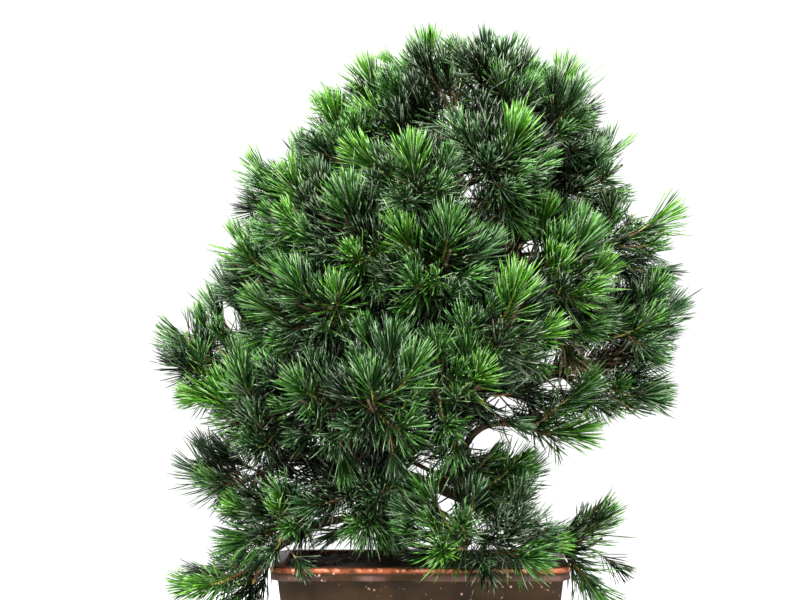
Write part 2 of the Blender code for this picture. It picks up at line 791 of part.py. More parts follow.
def plan_arch(trunk, limbs):
    """The split bough that arches to the right, and the thin one that hangs from its bend."""
    bend = np.array(ARCH_BEND)
    end = np.array(ARCH_END)
    hanging_end = np.array(HANGING_END)
    centre, _ = trunk_at(*trunk, ARCH_FOOT)
    foot, out = trunk_side(trunk, ARCH_FOOT, unit((bend - centre) * (1, 1, 0)), ARCH_RADII[0])
    lower = bezier(foot, foot + (0.030, 0, 0.022), bend - (0.009, 0, 0.025), bend, BOUGH_RINGS)
    axis = unit(lower[-1] - lower[-2])
    start = bend + axis * GAP
    upper = bezier(start, start + axis * 0.026, end + (-0.026, 0, 0.010), end, BOUGH_RINGS)
    down = unit(np.cross(axis, (0, 1, 0)))
    top = bend - axis * HANGING_RADII[0] * 1.2 + down * (ARCH_RADII[1] + 3 * GAP)
    first = top + (0.010, -0.006, -0.030)
    hanging = bezier(top, first, hanging_end + (0, 0.012, 0.030), hanging_end, BOUGH_RINGS)
    boughs = {
        "arch_lower_bough": (lower, limb_radii(len(lower), ARCH_RADII[0], ARCH_RADII[1]), out),
        "arch_upper_bough": (upper, limb_radii(len(upper), ARCH_RADII[1] * 0.95, ARCH_RADII[2]), axis),
        "hanging_bough": (hanging, limb_radii(len(hanging), *HANGING_RADII), down),
    }
    for name, (line, radii, _) in boughs.items():
        limbs.add(name, line, radii)
    return boughs


def plan_arch_stems(boughs, limbs):
    """The stems of the two masses that grow on from the tips of the split bough's ends."""
    stems = {}
    for row, bough_name in ((ARCH_MASS, "arch_upper_bough"), (HANGING_MASS, "hanging_bough")):
        bough, radii, _ = boughs[bough_name]
        axis = unit(bough[-1] - bough[-2])
        start = bough[-1] + axis * GAP
        bud = bud_of(row)
        reach = np.linalg.norm(bud - start)
        lead = heading_vector(row[1], row[4])
        stem = bezier(start, start + axis * 0.3 * reach, bud - lead * 0.5 * reach, bud, ROUTE_POINTS)
        widths = limb_radii(len(stem), radii[-1] * 0.8, STEM_TIP_RADIUS)
        limbs.add(row[0], stem, widths)
        stems[row[0]] = (stem, widths, axis, None)
    return stems


def make_mass(row, stem, widths, out, walls, limbs, material):
    """Grows one mass: its stem, its leading shoot, its side twigs and their shoots, then fuses them."""
    chance = random.Random(f"{SEED} {row[0]}")
    mass = Mass(row, walls, limbs)
    line, radii = stretch(stem, widths, 0, run_along(stem)[-1] - LEAD_LENGTH, STEM_RINGS)
    foot, bud = line[-1].copy(), stem[-1]
    mass.shoots.append((foot, bud))
    line[-1] += SUNK * unit(bud - foot)
    place_side_shoots(mass, row, line, chance)
    pieces = [add_object(row[0], *tube(line, radii, TWIG_SIDES, first_normal=out), material)]
    for number, twig in enumerate(mass.twigs):
        thin = limb_radii(len(twig), TWIG_RADIUS * 1.15, TWIG_RADIUS)
        pieces.append(add_object(f"{row[0]}_twig_{number}", *tube(twig, thin, TWIG_SIDES), material))
    for number in range(len(mass.shoots)):
        points, faces = grow_shoot(mass, number, chance)
        pieces.append(add_object(f"{row[0]}_shoot_{number}", points, faces, material))
    return fuse(row[0], pieces)


def back_masses():
    """Rows for the back of the crown, tier by tier."""
    rows = []
    for tier, (height, reach, lift, headings) in enumerate(BACK_TIERS):
        for place, heading in enumerate(headings):
            rise = 0.012 * (place % 2)
            name = f"back_{tier + 1}_{place + 1}"
            rows.append((name, heading, reach, height + rise, lift, BACK_SHOOTS, place == 0))
    return rows


def plan_limbs(rows, trunk, limbs):
    """Settles every limb before anything grows: each mass gets its stem, and some a bough before it."""
    plans = {}
    for row in sorted(rows, key=lambda item: -item[2]):
        line, widths, out = settled_route(row, trunk, limbs)
        if row[6]:
            (bough, bough_radii), (stem, stem_widths) = split_line(line, widths, BOUGH_SHARE)
            axis = unit(bough[-1] - bough[-2])
            stem_widths = limb_radii(len(stem), bough_radii[-1] * 0.8, STEM_TIP_RADIUS)
            limbs.add(row[0] + "_bough", bough, bough_radii)
            plans[row[0]] = (stem, stem_widths, axis, (bough, bough_radii, out))
        else:
            stem, stem_widths = line, limb_radii(len(line), STEM_RADIUS, STEM_TIP_RADIUS)
            plans[row[0]] = (stem, stem_widths, out, None)
        limbs.add(row[0], stem, stem_widths)
    return plans


def main():
    clear_scene()
    glaze = make_material("pot_glaze", (0.085, 0.050, 0.032), 0.28)
    earth = make_material("potting_soil", (0.040, 0.028, 0.020), 0.95)
    bark = make_material("pine_bark", (0.150, 0.085, 0.050), 0.85)
    needles = make_material("pine_needles", (0.060, 0.200, 0.045), 0.55)
    make_pot(glaze)
    make_soil(earth)
    line = trunk_line()
    radii = trunk_radii(line)
    make_trunk(line, radii, bark)
    trunk = (line, widest_radii(line, radii))
    limbs = Limbs()
    limbs.add("trunk", *trunk)
    arch_boughs = plan_arch(trunk, limbs)
    plans = plan_arch_stems(arch_boughs, limbs)
    for name, (way, widths, normal) in arch_boughs.items():
        add_object(name, *tube(way, widths, BOUGH_SIDES, first_normal=normal), bark)
    rows = list(FRONT_MASSES) + back_masses()
    plans.update(plan_limbs(rows, trunk, limbs))
    rows += [ARCH_MASS, HANGING_MASS]
    centres = [bud_of(row) - 0.022 * heading_vector(row[1], row[4]) for row in rows]
    spreads = [0.008 * row[5] for row in rows]
    for index, row in enumerate(rows):
        stem, widths, out, bough = plans[row[0]]
        if bough:
            points, faces = tube(bough[0], bough[1], BOUGH_SIDES, first_normal=bough[2])
            add_object(row[0] + "_bough", points, faces, bark)
        walls = cell_walls(index, centres, spreads)
        make_mass(row, stem, widths, out, walls, limbs, needles)


main()
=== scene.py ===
import itertools
import math
import random

import bpy
import numpy as np
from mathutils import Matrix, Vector, noise


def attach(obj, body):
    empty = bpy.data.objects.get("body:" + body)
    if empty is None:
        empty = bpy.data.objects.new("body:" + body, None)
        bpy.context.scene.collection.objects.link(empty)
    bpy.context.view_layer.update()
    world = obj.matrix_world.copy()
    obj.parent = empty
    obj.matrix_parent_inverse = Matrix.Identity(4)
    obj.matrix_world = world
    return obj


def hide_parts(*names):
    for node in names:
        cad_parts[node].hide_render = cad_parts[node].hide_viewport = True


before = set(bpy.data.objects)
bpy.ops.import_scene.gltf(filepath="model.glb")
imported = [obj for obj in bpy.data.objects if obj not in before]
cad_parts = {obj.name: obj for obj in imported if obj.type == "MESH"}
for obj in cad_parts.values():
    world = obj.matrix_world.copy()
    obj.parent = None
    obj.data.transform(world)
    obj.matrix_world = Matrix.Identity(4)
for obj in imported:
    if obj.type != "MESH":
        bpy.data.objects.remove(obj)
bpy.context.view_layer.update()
nodeNames = sorted(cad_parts)
boughNames = [name for name in nodeNames if name.endswith("_bough")]
massNames = [name for name in nodeNames if name not in boughNames + ["trunk", "pot", "soil"]]
print("frame:", len(boughNames), "boughs and", len(massNames), "masses of foliage")


# small geometry helpers

def unit(vector):
    return np.array(vector, float) / np.linalg.norm(vector)


def rowUnit(vectors):
    return vectors / np.linalg.norm(vectors, axis=1)[:, None]


def headingVector(heading, lift):
    turn, rise = math.radians(heading), math.radians(lift)
    flat = math.cos(rise)
    return np.array([flat * math.cos(turn), flat * math.sin(turn), math.sin(rise)])


def sideVectors(axis):
    guide = (0, 0, 1) if abs(axis[2]) < 0.9 else (1, 0, 0)
    first = unit(np.cross(guide, axis))
    return first, np.cross(axis, first)


def bezier(start, first, second, end, count):
    t = np.linspace(0, 1, count)[:, None]
    s = 1 - t
    return s**3 * start + 3 * s**2 * t * first + 3 * s * t**2 * second + t**3 * end


def smoothLine(knots, count):
    knots = [np.array(knot, float) for knot in knots]
    knots = [2 * knots[0] - knots[1]] + knots + [2 * knots[-1] - knots[-2]]
    spans = len(knots) - 3
    line = []
    for step in range(count):
        place = step * spans / (count - 1)
        span = min(int(place), spans - 1)
        t = place - span
        a, b, c, d = knots[span:span + 4]
        point = 0.5 * (2 * b + (c - a) * t + (2 * a - 5 * b + 4 * c - d) * t**2)
        line.append(point + 0.5 * (3 * b - a - 3 * c + d) * t**3)
    return np.array(line)


def runAlong(line):
    return np.concatenate([[0], np.cumsum(np.linalg.norm(np.diff(line, axis=0), axis=1))])


def pointAlong(line, place):
    along = runAlong(line)
    return np.stack([np.interp(place, along, line[:, axis]) for axis in range(3)], axis=-1)


def stretch(line, radii, low, high, count):
    places = np.linspace(low, high, count)
    return pointAlong(line, places), np.interp(places, runAlong(line), radii)


def limbRadii(count, start, end):
    return start + (end - start) * np.linspace(0, 1, count)


def segmentGaps(start, end, starts, ends, radii):
    first, second, between = end - start, ends - starts, start - starts
    a = max(first @ first, 1e-12)
    e = np.maximum((second * second).sum(1), 1e-12)
    b = second @ first
    c = between @ first
    f = (second * between).sum(1)
    spread = np.maximum(a * e - b * b, 1e-14)
    s = np.clip((b * f - c * e) / spread, 0, 1)
    t = np.clip((b * s + f) / e, 0, 1)
    s = np.clip((b * t - c) / a, 0, 1)
    apart = between + s[:, None] * first - t[:, None] * second
    return np.linalg.norm(apart, axis=1) - radii


# joined meshes are gathered from arrays and built in one go

class Gather:
    def __init__(self):
        self.points, self.faces, self.slots, self.count = [], {3: [], 4: []}, {3: [], 4: []}, 0

    def add(self, points, faceSets, slot=0):
        for faces in faceSets:
            size = faces.shape[1]
            self.faces[size].append(faces + self.count)
            self.slots[size].append(np.full(len(faces), slot) if np.isscalar(slot) else slot[size])
        self.points.append(points)
        self.count += len(points)

    def build(self, name, materials, smooth=True):
        sizes = [size for size in (3, 4) if self.faces[size]]
        faceSets = [np.concatenate(self.faces[size]) for size in sizes]
        slots = np.concatenate([np.concatenate(self.slots[size]) for size in sizes])
        return meshPiece(name, np.concatenate(self.points), faceSets, materials, slots, smooth)


def meshPiece(name, points, faceSets, materials, faceSlots=None, smooth=True):
    mesh = bpy.data.meshes.new(name)
    mesh.vertices.add(len(points))
    mesh.vertices.foreach_set("co", np.asarray(points, np.float32).ravel())
    corners = np.concatenate([faces.ravel() for faces in faceSets]).astype(np.int32)
    totals = np.concatenate([np.full(len(faces), faces.shape[1]) for faces in faceSets])
    mesh.loops.add(len(corners))
    mesh.polygons.add(len(totals))
    mesh.polygons.foreach_set("loop_start", np.concatenate([[0], np.cumsum(totals)[:-1]]).astype(np.int32))
    mesh.polygons.foreach_set("vertices", corners)
    for material in materials:
        mesh.materials.append(material)
    if faceSlots is not None:
        mesh.polygons.foreach_set("material_index", faceSlots.astype(np.int32))
    mesh.update(calc_edges=True)
    mesh.validate()
    if smooth:
        mesh.shade_smooth()
    piece = bpy.data.objects.new(name, mesh)
    bpy.context.scene.collection.objects.link(piece)
    return piece


def ringQuads(rings, sides):
    ring, side = np.meshgrid(np.arange(rings - 1), np.arange(sides), indexing="ij")
    low, next_ = ring * sides + side, ring * sides + (side + 1) % sides
    return np.stack([low, next_, next_ + sides, low + sides], axis=-1).reshape(-1, 4)


def tubeParts(line, radii, sides, firstNormal=None):
    tangents = rowUnit(np.gradient(line, axis=0))
    if firstNormal is not None:
        tangents[0] = unit(firstNormal)
    across, _ = sideVectors(tangents[0])
    turns = np.arange(sides) * math.tau / sides
    rings = []
    for centre, axis, radius in zip(line, tangents, radii):
        across = unit(across - axis * (across @ axis))
        up = np.cross(axis, across)
        rings.append(centre + radius * (np.cos(turns)[:, None] * across + np.sin(turns)[:, None] * up))
    count = len(line) * sides
    points = np.vstack(rings + [line[:1], line[-1:]])
    around = np.arange(sides)
    after = (around + 1) % sides
    foot = np.stack([after, around, np.full(sides, count)], axis=1)
    last = count - sides
    tip = np.stack([last + around, last + after, np.full(sides, count + 1)], axis=1)
    return points, [ringQuads(len(line), sides), np.vstack([foot, tip])]


# materials: a grain between a deep and a light tone, with its own roughness and bump

def grainMaterial(name, look):
    material = bpy.data.materials.new(name)
    material.use_nodes = True
    nodes, links = material.node_tree.nodes, material.node_tree.links
    shader = nodes["Principled BSDF"]
    coords = nodes.new("ShaderNodeTexCoord")
    grain = nodes.new("ShaderNodeTexNoise")
    grain.inputs["Scale"].default_value = look["scale"]
    grain.inputs["Detail"].default_value = look.get("detail", 3)
    links.new(coords.outputs["Object"], grain.inputs["Vector"])
    ramp = nodes.new("ShaderNodeValToRGB")
    ramp.color_ramp.elements[0].position, ramp.color_ramp.elements[1].position = look.get("spread", (0.35, 0.68))
    ramp.color_ramp.elements[0].color = (*look["deep"], 1)
    ramp.color_ramp.elements[1].color = (*look["light"], 1)
    links.new(grain.outputs["Fac"], ramp.inputs["Fac"])
    links.new(ramp.outputs["Color"], shader.inputs["Base Color"])
    gloss = nodes.new("ShaderNodeMapRange")
    gloss.inputs["To Min"].default_value, gloss.inputs["To Max"].default_value = look["roughness"]
    links.new(grain.outputs["Fac"], gloss.inputs["Value"])
    links.new(gloss.outputs["Result"], shader.inputs["Roughness"])
    if look.get("bump"):
        bump = nodes.new("ShaderNodeBump")
        bump.inputs["Strength"].default_value = look["bump"]
        bump.inputs["Distance"].default_value = look["bumpDepth"]
        links.new(grain.outputs["Fac"], bump.inputs["Height"])
        links.new(bump.outputs["Normal"], shader.inputs["Normal"])
    shader.inputs["Specular IOR Level"].default_value = look.get("specular", 0.5)
    return material


# camera, floor and light

view = {"place": (-0.019, -2.6, 0.3353), "lens": 123.16, "sensor": 36.0, "white": 1.1, "sky": 0.21, "floor": 0.85}


def setStage():
    camera = bpy.data.objects.new("camera", bpy.data.cameras.new("camera"))
    bpy.context.scene.collection.objects.link(camera)
    camera.location = view["place"]
    camera.rotation_euler = (math.pi / 2, 0, 0)
    camera.data.lens = view["lens"]
    camera.data.sensor_width = view["sensor"]
    bpy.context.scene.camera = camera
    bpy.context.scene.view_settings.view_transform = "Standard"
    world = bpy.data.worlds.new("studio")
    bpy.context.scene.world = world
    world.use_nodes = True
    nodes, links = world.node_tree.nodes, world.node_tree.links
    backdrop = nodes["Background"]
    backdrop.inputs["Color"].default_value = (1, 1, 1, 1)
    seen, strength = nodes.new("ShaderNodeLightPath"), nodes.new("ShaderNodeMapRange")
    strength.inputs["To Min"].default_value, strength.inputs["To Max"].default_value = view["sky"], view["white"]
    links.new(seen.outputs["Is Camera Ray"], strength.inputs["Value"])
    links.new(strength.outputs["Result"], backdrop.inputs["Strength"])
    turns = np.arange(64) * math.tau / 64
    rim = np.stack([view["floor"] * np.cos(turns), view["floor"] * np.sin(turns), np.full(64, -0.0005)], axis=1)
    fan = np.stack([np.full(64, 64), np.arange(64), (np.arange(64) + 1) % 64], axis=1)
    look = {"deep": (0.86, 0.86, 0.86), "light": (0.92, 0.92, 0.92), "scale": 6, "roughness": (0.8, 0.95)}
    floor = meshPiece("floor", np.vstack([rim, [[0, 0, -0.0005]]]), [fan], [grainMaterial("pale_floor", look)])


softLights = {
    "key": {"place": (-0.7, -1.5, 1.9), "size": 0.9, "watts": 98},
    "fill": {"place": (1.3, -1.5, 0.9), "size": 1.4, "watts": 18},
    "top": {"place": (0.1, -0.1, 2.1), "size": 0.9, "watts": 48},
    "back": {"place": (0.2, 1.8, 1.2), "size": 1.4, "watts": 16},
}


def setLights():
    aim = Vector((0, 0, 0.30))
    for name, lamp in softLights.items():
        light = bpy.data.lights.new(name, "AREA")
        light.energy, light.size = lamp["watts"], lamp["size"]
        holder = bpy.data.objects.new(name, light)
        bpy.context.scene.collection.objects.link(holder)
        holder.location = lamp["place"]
        holder.rotation_euler = (aim - holder.location).to_track_quat("-Z", "Y").to_euler()


setStage()
setLights()
print("stage: camera, floor and", len(softLights), "soft lights")


# the pot: lip, leaning wall, floor, feet and drain holes

potShape = {"length": 0.277, "depth": 0.190, "height": 0.090, "corner": 0.022, "lipHeight": 0.0125,
            "lipOverhang": 0.0055, "lipRounding": 0.0025, "wall": 0.0065, "wallLean": 0.011, "floor": 0.007,
            "footHeight": 0.010, "footLength": 0.046, "footDepth": 0.034, "drainRadius": 0.008,
            "drainSpread": 0.056, "cornerPoints": 13, "sidePoints": 10}


def potOutline(inset, height):
    corner = max(potShape["corner"] - inset, 0.004)
    halfLength, halfDepth = potShape["length"] / 2 - inset, potShape["depth"] / 2 - inset
    outline = []
    for quarter, (xSide, ySide) in enumerate(((1, 1), (-1, 1), (-1, -1), (1, -1))):
        turns = math.pi / 2 * (quarter + np.linspace(0, 1, potShape["cornerPoints"]))
        xs = xSide * (halfLength - corner) + corner * np.cos(turns)
        ys = ySide * (halfDepth - corner) + corner * np.sin(turns)
        outline.append(np.stack([xs, ys], axis=1))
    ring = []
    for quarter in range(4):
        start, end = outline[quarter][-1], outline[(quarter + 1) % 4][0]
        ring.append(outline[quarter])
        ring.append(start + (end - start) * np.linspace(0, 1, potShape["sidePoints"] + 2)[1:-1, None])
    ring = np.vstack(ring)
    return np.column_stack([ring, np.full(len(ring), height)])


def wallInset(height):
    share = (potShape["height"] - height) / (potShape["height"] - potShape["footHeight"])
    return potShape["lipOverhang"] + potShape["wallLean"] * max(share, 0)**1.3


def loftFaces(rings, count, closed=True):
    quads = ringQuads(rings, count)
    if not closed:
        return quads, None
    around, after = np.arange(count), (np.arange(count) + 1) % count
    return quads, (around, after)


def makePot(material):
    top, lipFoot = potShape["height"], potShape["height"] - potShape["lipHeight"]
    footTop, wall, rounding = potShape["footHeight"], potShape["wall"], potShape["lipRounding"]
    inner = potShape["lipOverhang"] + wall
    profile = [(wallInset(footTop) + 0.003, footTop), (wallInset(footTop) + 0.0009, footTop + 0.0007)]
    profile += [(wallInset(height), height) for height in np.linspace(footTop + 0.003, lipFoot - 0.0035, 14)]
    turns = np.linspace(0, math.pi / 2, 5)  # a small hollow under the lip, then its round lower edge
    hollow = wallInset(lipFoot - 0.0035)
    profile += [(hollow - 0.0028 * (1 - math.cos(turn)), lipFoot - 0.0035 + 0.0032 * math.sin(turn))
                for turn in turns[1:]]
    profile += [(0.0014 * (1 - math.sin(turn)), lipFoot + 0.0016 - 0.0016 * math.cos(turn)) for turn in turns]
    profile += [(0.0006 * math.sin(math.pi * share), lipFoot + 0.0016 + share * (top - lipFoot - 0.0016 - rounding))
                for share in np.linspace(0, 1, 7)[1:]]
    profile += [(rounding * (1 - math.cos(turn)), top - rounding * (1 - math.sin(turn))) for turn in turns[1:]]
    profile += [(inner - 0.0022, top)]
    profile += [(inner - 0.0018 * (1 - math.sin(turn)), top - 0.0018 * (1 - math.cos(turn))) for turn in turns]
    innerFoot = footTop + potShape["floor"]
    middle = wallInset(top / 2) + wall
    profile += [(inner + (middle - inner) * share, top - 0.002 + (top / 2 - top + 0.002) * share)
                for share in np.linspace(0.15, 1, 5)]
    profile += [(wallInset(footTop) + wall, innerFoot)]
    rings = [potOutline(inset, height) for inset, height in profile]
    count = len(rings[0])
    quads = ringQuads(len(rings), count)
    bottom = np.arange(count)[::-1]
    points = np.vstack(rings)
    mesh = bpy.data.meshes.new("pot_body")
    faces = [tuple(face) for face in quads] + [tuple(bottom)]
    faces.append(tuple((len(rings) - 1) * count + np.arange(count)))
    mesh.from_pydata([tuple(point) for point in points], [], [tuple(int(i) for i in face) for face in faces])
    mesh.update()
    pot = bpy.data.objects.new("glazed_pot", mesh)
    bpy.context.scene.collection.objects.link(pot)
    mesh.materials.append(material)
    addFeetAndDrains(pot)
    pot.data.shade_smooth()
    pot.data.set_sharp_from_angle(angle=math.radians(38))
    return pot


def boxObject(name, low, high):
    points = [(x, y, z) for z, y, x in itertools.product(*zip(low[::-1], high[::-1]))]
    faces = [(0, 2, 3, 1), (4, 5, 7, 6), (0, 1, 5, 4), (2, 6, 7, 3), (0, 4, 6, 2), (1, 3, 7, 5)]
    mesh = bpy.data.meshes.new(name)
    mesh.from_pydata(points, [], faces)
    made = bpy.data.objects.new(name, mesh)
    bpy.context.scene.collection.objects.link(made)
    return made


def solidObject(name, rings):
    count = len(rings[0])
    faces = [tuple(int(i) for i in face) for face in ringQuads(len(rings), count)]
    faces += [tuple(range(count))[::-1], tuple((len(rings) - 1) * count + i for i in range(count))]
    mesh = bpy.data.meshes.new(name)
    mesh.from_pydata([tuple(point) for point in np.vstack(rings)], [], faces)
    made = bpy.data.objects.new(name, mesh)
    bpy.context.scene.collection.objects.link(made)
    return made


def addFeetAndDrains(pot):
    footTop = potShape["footHeight"]
    inset = wallInset(footTop) + 0.006
    heights = (0.0, 0.0006, 0.0015, footTop + 0.001)
    slab = solidObject("foot_slab", [potOutline(inset + drawn, height)
                                     for drawn, height in zip((0.0024, 0.0018, 0.0013, 0.0), heights)])
    tools = [("UNION", slab)]
    halfLength = potShape["length"] / 2 - inset - potShape["footLength"]
    halfDepth = potShape["depth"] / 2 - inset - potShape["footDepth"]
    far = potShape["length"]
    tools.append(("DIFFERENCE", boxObject("arch_along", (-halfLength, -far, -0.01), (halfLength, far, footTop))))
    tools.append(("DIFFERENCE", boxObject("arch_across", (-far, -halfDepth, -0.01), (far, halfDepth, footTop))))
    turns = np.arange(32) * math.tau / 32
    for side in (-1, 1):
        disc = np.stack([side * potShape["drainSpread"] + potShape["drainRadius"] * np.cos(turns),
                         potShape["drainRadius"] * np.sin(turns)], axis=1)
        rings = [np.column_stack([disc, np.full(32, height)]) for height in (-0.01, footTop + 0.014)]
        tools.append(("DIFFERENCE", solidObject("drain", rings)))
    for operation, tool in tools:
        modifier = pot.modifiers.new("cut", "BOOLEAN")
        modifier.operation, modifier.solver, modifier.object = operation, "EXACT", tool
    graph = bpy.context.evaluated_depsgraph_get()
    cut = bpy.data.meshes.new_from_object(pot.evaluated_get(graph))
    pot.modifiers.clear()
    pot.data = cut
    for _, tool in tools:
        bpy.data.objects.remove(tool, do_unlink=True)


def glazeMaterial():
    look = {"deep": (0.016, 0.009, 0.003), "light": (0.050, 0.025, 0.008), "scale": 34, "detail": 5,
            "roughness": (0.40, 0.60), "bump": 0.12, "bumpDepth": 0.0005, "specular": 0.12}
    material = grainMaterial("brown_glaze", look)
    nodes, links = material.node_tree.nodes, material.node_tree.links
    shader = nodes["Principled BSDF"]
    base = shader.inputs["Base Color"].links[0].from_socket
    coords = next(node for node in nodes if node.type == "TEX_COORD").outputs["Object"]
    split = nodes.new("ShaderNodeSeparateXYZ")
    links.new(coords, split.inputs["Vector"])

    def band(low, high, soft):  # 1 between two heights, fading over a soft edge
        rise = nodes.new("ShaderNodeMapRange")
        rise.inputs["From Min"].default_value, rise.inputs["From Max"].default_value = low - soft, low + soft
        fall = nodes.new("ShaderNodeMapRange")
        fall.inputs["From Min"].default_value, fall.inputs["From Max"].default_value = high + soft, high - soft
        both = nodes.new("ShaderNodeMath")
        both.operation = "MULTIPLY"
        for part, slot in ((rise, 0), (fall, 1)):
            links.new(split.outputs["Z"], part.inputs["Value"])
            links.new(part.outputs["Result"], both.inputs[slot])
        return both.outputs["Value"]

    def patches(scale, low, high):  # 0 to 1 where a noise is over a threshold
        grain = nodes.new("ShaderNodeTexNoise")
        grain.inputs["Scale"].default_value, grain.inputs["Detail"].default_value = scale, 6
        links.new(coords, grain.inputs["Vector"])
        range_ = nodes.new("ShaderNodeMapRange")
        range_.inputs["From Min"].default_value, range_.inputs["From Max"].default_value = low, high
        links.new(grain.outputs["Fac"], range_.inputs["Value"])
        return range_.outputs["Result"]

    def product(first, second):
        node = nodes.new("ShaderNodeMath")
        node.operation = "MULTIPLY"
        links.new(first, node.inputs[0])
        links.new(second, node.inputs[1])
        return node.outputs["Value"]

    def layer(under, mask, colour):
        mix = nodes.new("ShaderNodeMix")
        mix.data_type = "RGBA"
        mix.inputs[7].default_value = (*colour, 1)
        links.new(mask, mix.inputs[0])
        links.new(under, mix.inputs[6])
        return mix.outputs[2]

    base = layer(base, product(band(0.0775, 0.0825, 0.0012), patches(26, 0.38, 0.60)), (0.16, 0.085, 0.075))
    base = layer(base, product(band(0.0850, 0.0893, 0.0010), patches(60, 0.36, 0.56)), (0.36, 0.085, 0.030))
    base = layer(base, product(band(0.0862, 0.0890, 0.0006), patches(150, 0.50, 0.60)), (0.62, 0.24, 0.13))
    cells = nodes.new("ShaderNodeTexVoronoi")
    cells.inputs["Scale"].default_value = 210
    links.new(coords, cells.inputs["Vector"])
    spots = nodes.new("ShaderNodeMapRange")
    spots.inputs["From Min"].default_value, spots.inputs["From Max"].default_value = 0.27, 0.19
    links.new(cells.outputs["Distance"], spots.inputs["Value"])
    base = layer(base, product(spots.outputs["Result"], patches(55, 0.53, 0.60)), (0.60, 0.33, 0.24))
    links.new(base, shader.inputs["Base Color"])
    shader.inputs["Coat Weight"].default_value = 0.04
    shader.inputs["Coat Roughness"].default_value = 0.25
    return material


pot = makePot(glazeMaterial())
print("pot:", len(pot.data.polygons), "faces")


# the soil: a low mound that fills the pot to just under its lip, covered with grains

soilShape = {"belowLip": 0.005, "mound": 0.0045, "patch": 0.032, "rings": 30, "grains": 1900,
             "grainSize": (0.0009, 0.0024), "relief": 0.0011}
trunkPlace = np.array([-0.024, 0.0])


def soilHeight(share):
    rise = share * share * (3 - 2 * share)
    return potShape["height"] - soilShape["belowLip"] + 2 * soilShape["mound"] * rise


def makeSoil(material):
    edgeTop, footTop, wall = soilHeight(0), potShape["footHeight"] + potShape["floor"], potShape["wall"]
    half = potShape["height"] / 2
    share = (edgeTop - half) / (potShape["height"] - 0.001 - half)
    edgeInset = wallInset(half) + wall + (potShape["lipOverhang"] - wallInset(half)) * share
    clear = 0.0004
    rings = [potOutline(wallInset(potShape["footHeight"]) + wall + clear, footTop + clear),
             potOutline(wallInset(half) + wall + clear, half), potOutline(edgeInset + clear, edgeTop - 0.0012)]
    edge = potOutline(edgeInset + clear, edgeTop)
    count = len(edge)
    turns = np.arctan2(edge[:, 1], edge[:, 0] - trunkPlace[0])
    patch = np.stack([soilShape["patch"] * np.cos(turns) + trunkPlace[0], soilShape["patch"] * np.sin(turns)], axis=1)
    for ring in range(soilShape["rings"]):
        share = ring / (soilShape["rings"] - 1) * 1.9
        inward, height = min(share, 1), soilHeight(min(share, 1))
        row = edge[:, :2] + (patch - edge[:, :2]) * inward
        if share > 1:
            row = trunkPlace + (row - trunkPlace) * (1.9 - share + 0.02) / 0.9
        level = np.array([height + (soilShape["relief"] * noise.noise(Vector((x * 180, y * 180, 1.0)))
                                    + 0.6 * soilShape["relief"] * noise.noise(Vector((x * 520, y * 520, 7.0)))
                                    if ring else -0.0008) for x, y in row])
        rings.append(np.column_stack([row, level - 0.0006]))
    points = np.vstack(rings + [[[*trunkPlace, soilHeight(1)]], [[0, 0, footTop + clear]]])
    around, after = np.arange(count), (np.arange(count) + 1) % count
    last = (len(rings) - 1) * count
    top = np.stack([last + around, last + after, np.full(count, len(points) - 2)], axis=1)
    under = np.stack([after, around, np.full(count, len(points) - 1)], axis=1)
    soil = Gather()
    soil.add(points, [ringQuads(len(rings), count), np.vstack([top, under])])
    addGrains(soil, edge)
    return soil.build("potting_soil", [material, grainMaterial("soil_grit", {
        "deep": (0.045, 0.030, 0.020), "light": (0.16, 0.105, 0.070), "scale": 240, "roughness": (0.75, 0.95)})])


def grainBall():
    golden = (1 + math.sqrt(5)) / 2
    points = np.array([(-1, golden, 0), (1, golden, 0), (-1, -golden, 0), (1, -golden, 0), (0, -1, golden),
                       (0, 1, golden), (0, -1, -golden), (0, 1, -golden), (golden, 0, -1), (golden, 0, 1),
                       (-golden, 0, -1), (-golden, 0, 1)], float)
    faces = np.array([(0, 11, 5), (0, 5, 1), (0, 1, 7), (0, 7, 10), (0, 10, 11), (1, 5, 9), (5, 11, 4),
                      (11, 10, 2), (10, 7, 6), (7, 1, 8), (3, 9, 4), (3, 4, 2), (3, 2, 6), (3, 6, 8),
                      (3, 8, 9), (4, 9, 5), (2, 4, 11), (6, 2, 10), (8, 6, 7), (9, 8, 1)])
    return rowUnit(points), faces


def addGrains(soil, edge):
    chance = np.random.default_rng(5)
    ball, faces = grainBall()
    for _ in range(soilShape["grains"]):
        outward = edge[chance.integers(len(edge)), :2]
        share = 1 - math.sqrt(chance.random())
        jitter = chance.normal(0, 0.004, 2) * (share > 0.08)
        place = outward + (trunkPlace - outward) * min(share + 0.015, 1) + jitter
        across = share * 1.35
        level = soilHeight(min(across, 1)) + chance.uniform(-0.0009, 0.0002)
        size = chance.uniform(*soilShape["grainSize"]) * chance.uniform(0.6, 1)
        form = ball * (size * chance.uniform(0.6, 1.2, (12, 1))) * (1, 1, 0.8)
        soil.add(form + (*place, level), [faces], int(chance.random() < 0.4))


soil = makeSoil(grainMaterial("dark_soil", {
    "deep": (0.016, 0.011, 0.008), "light": (0.060, 0.040, 0.028), "scale": 160, "detail": 6,
    "roughness": (0.85, 1.0), "bump": 0.5, "bumpDepth": 0.0008}))
print("soil:", len(soil.data.polygons), "faces")


# the trunk's own line and the way every limb takes, by the same rule as the solids

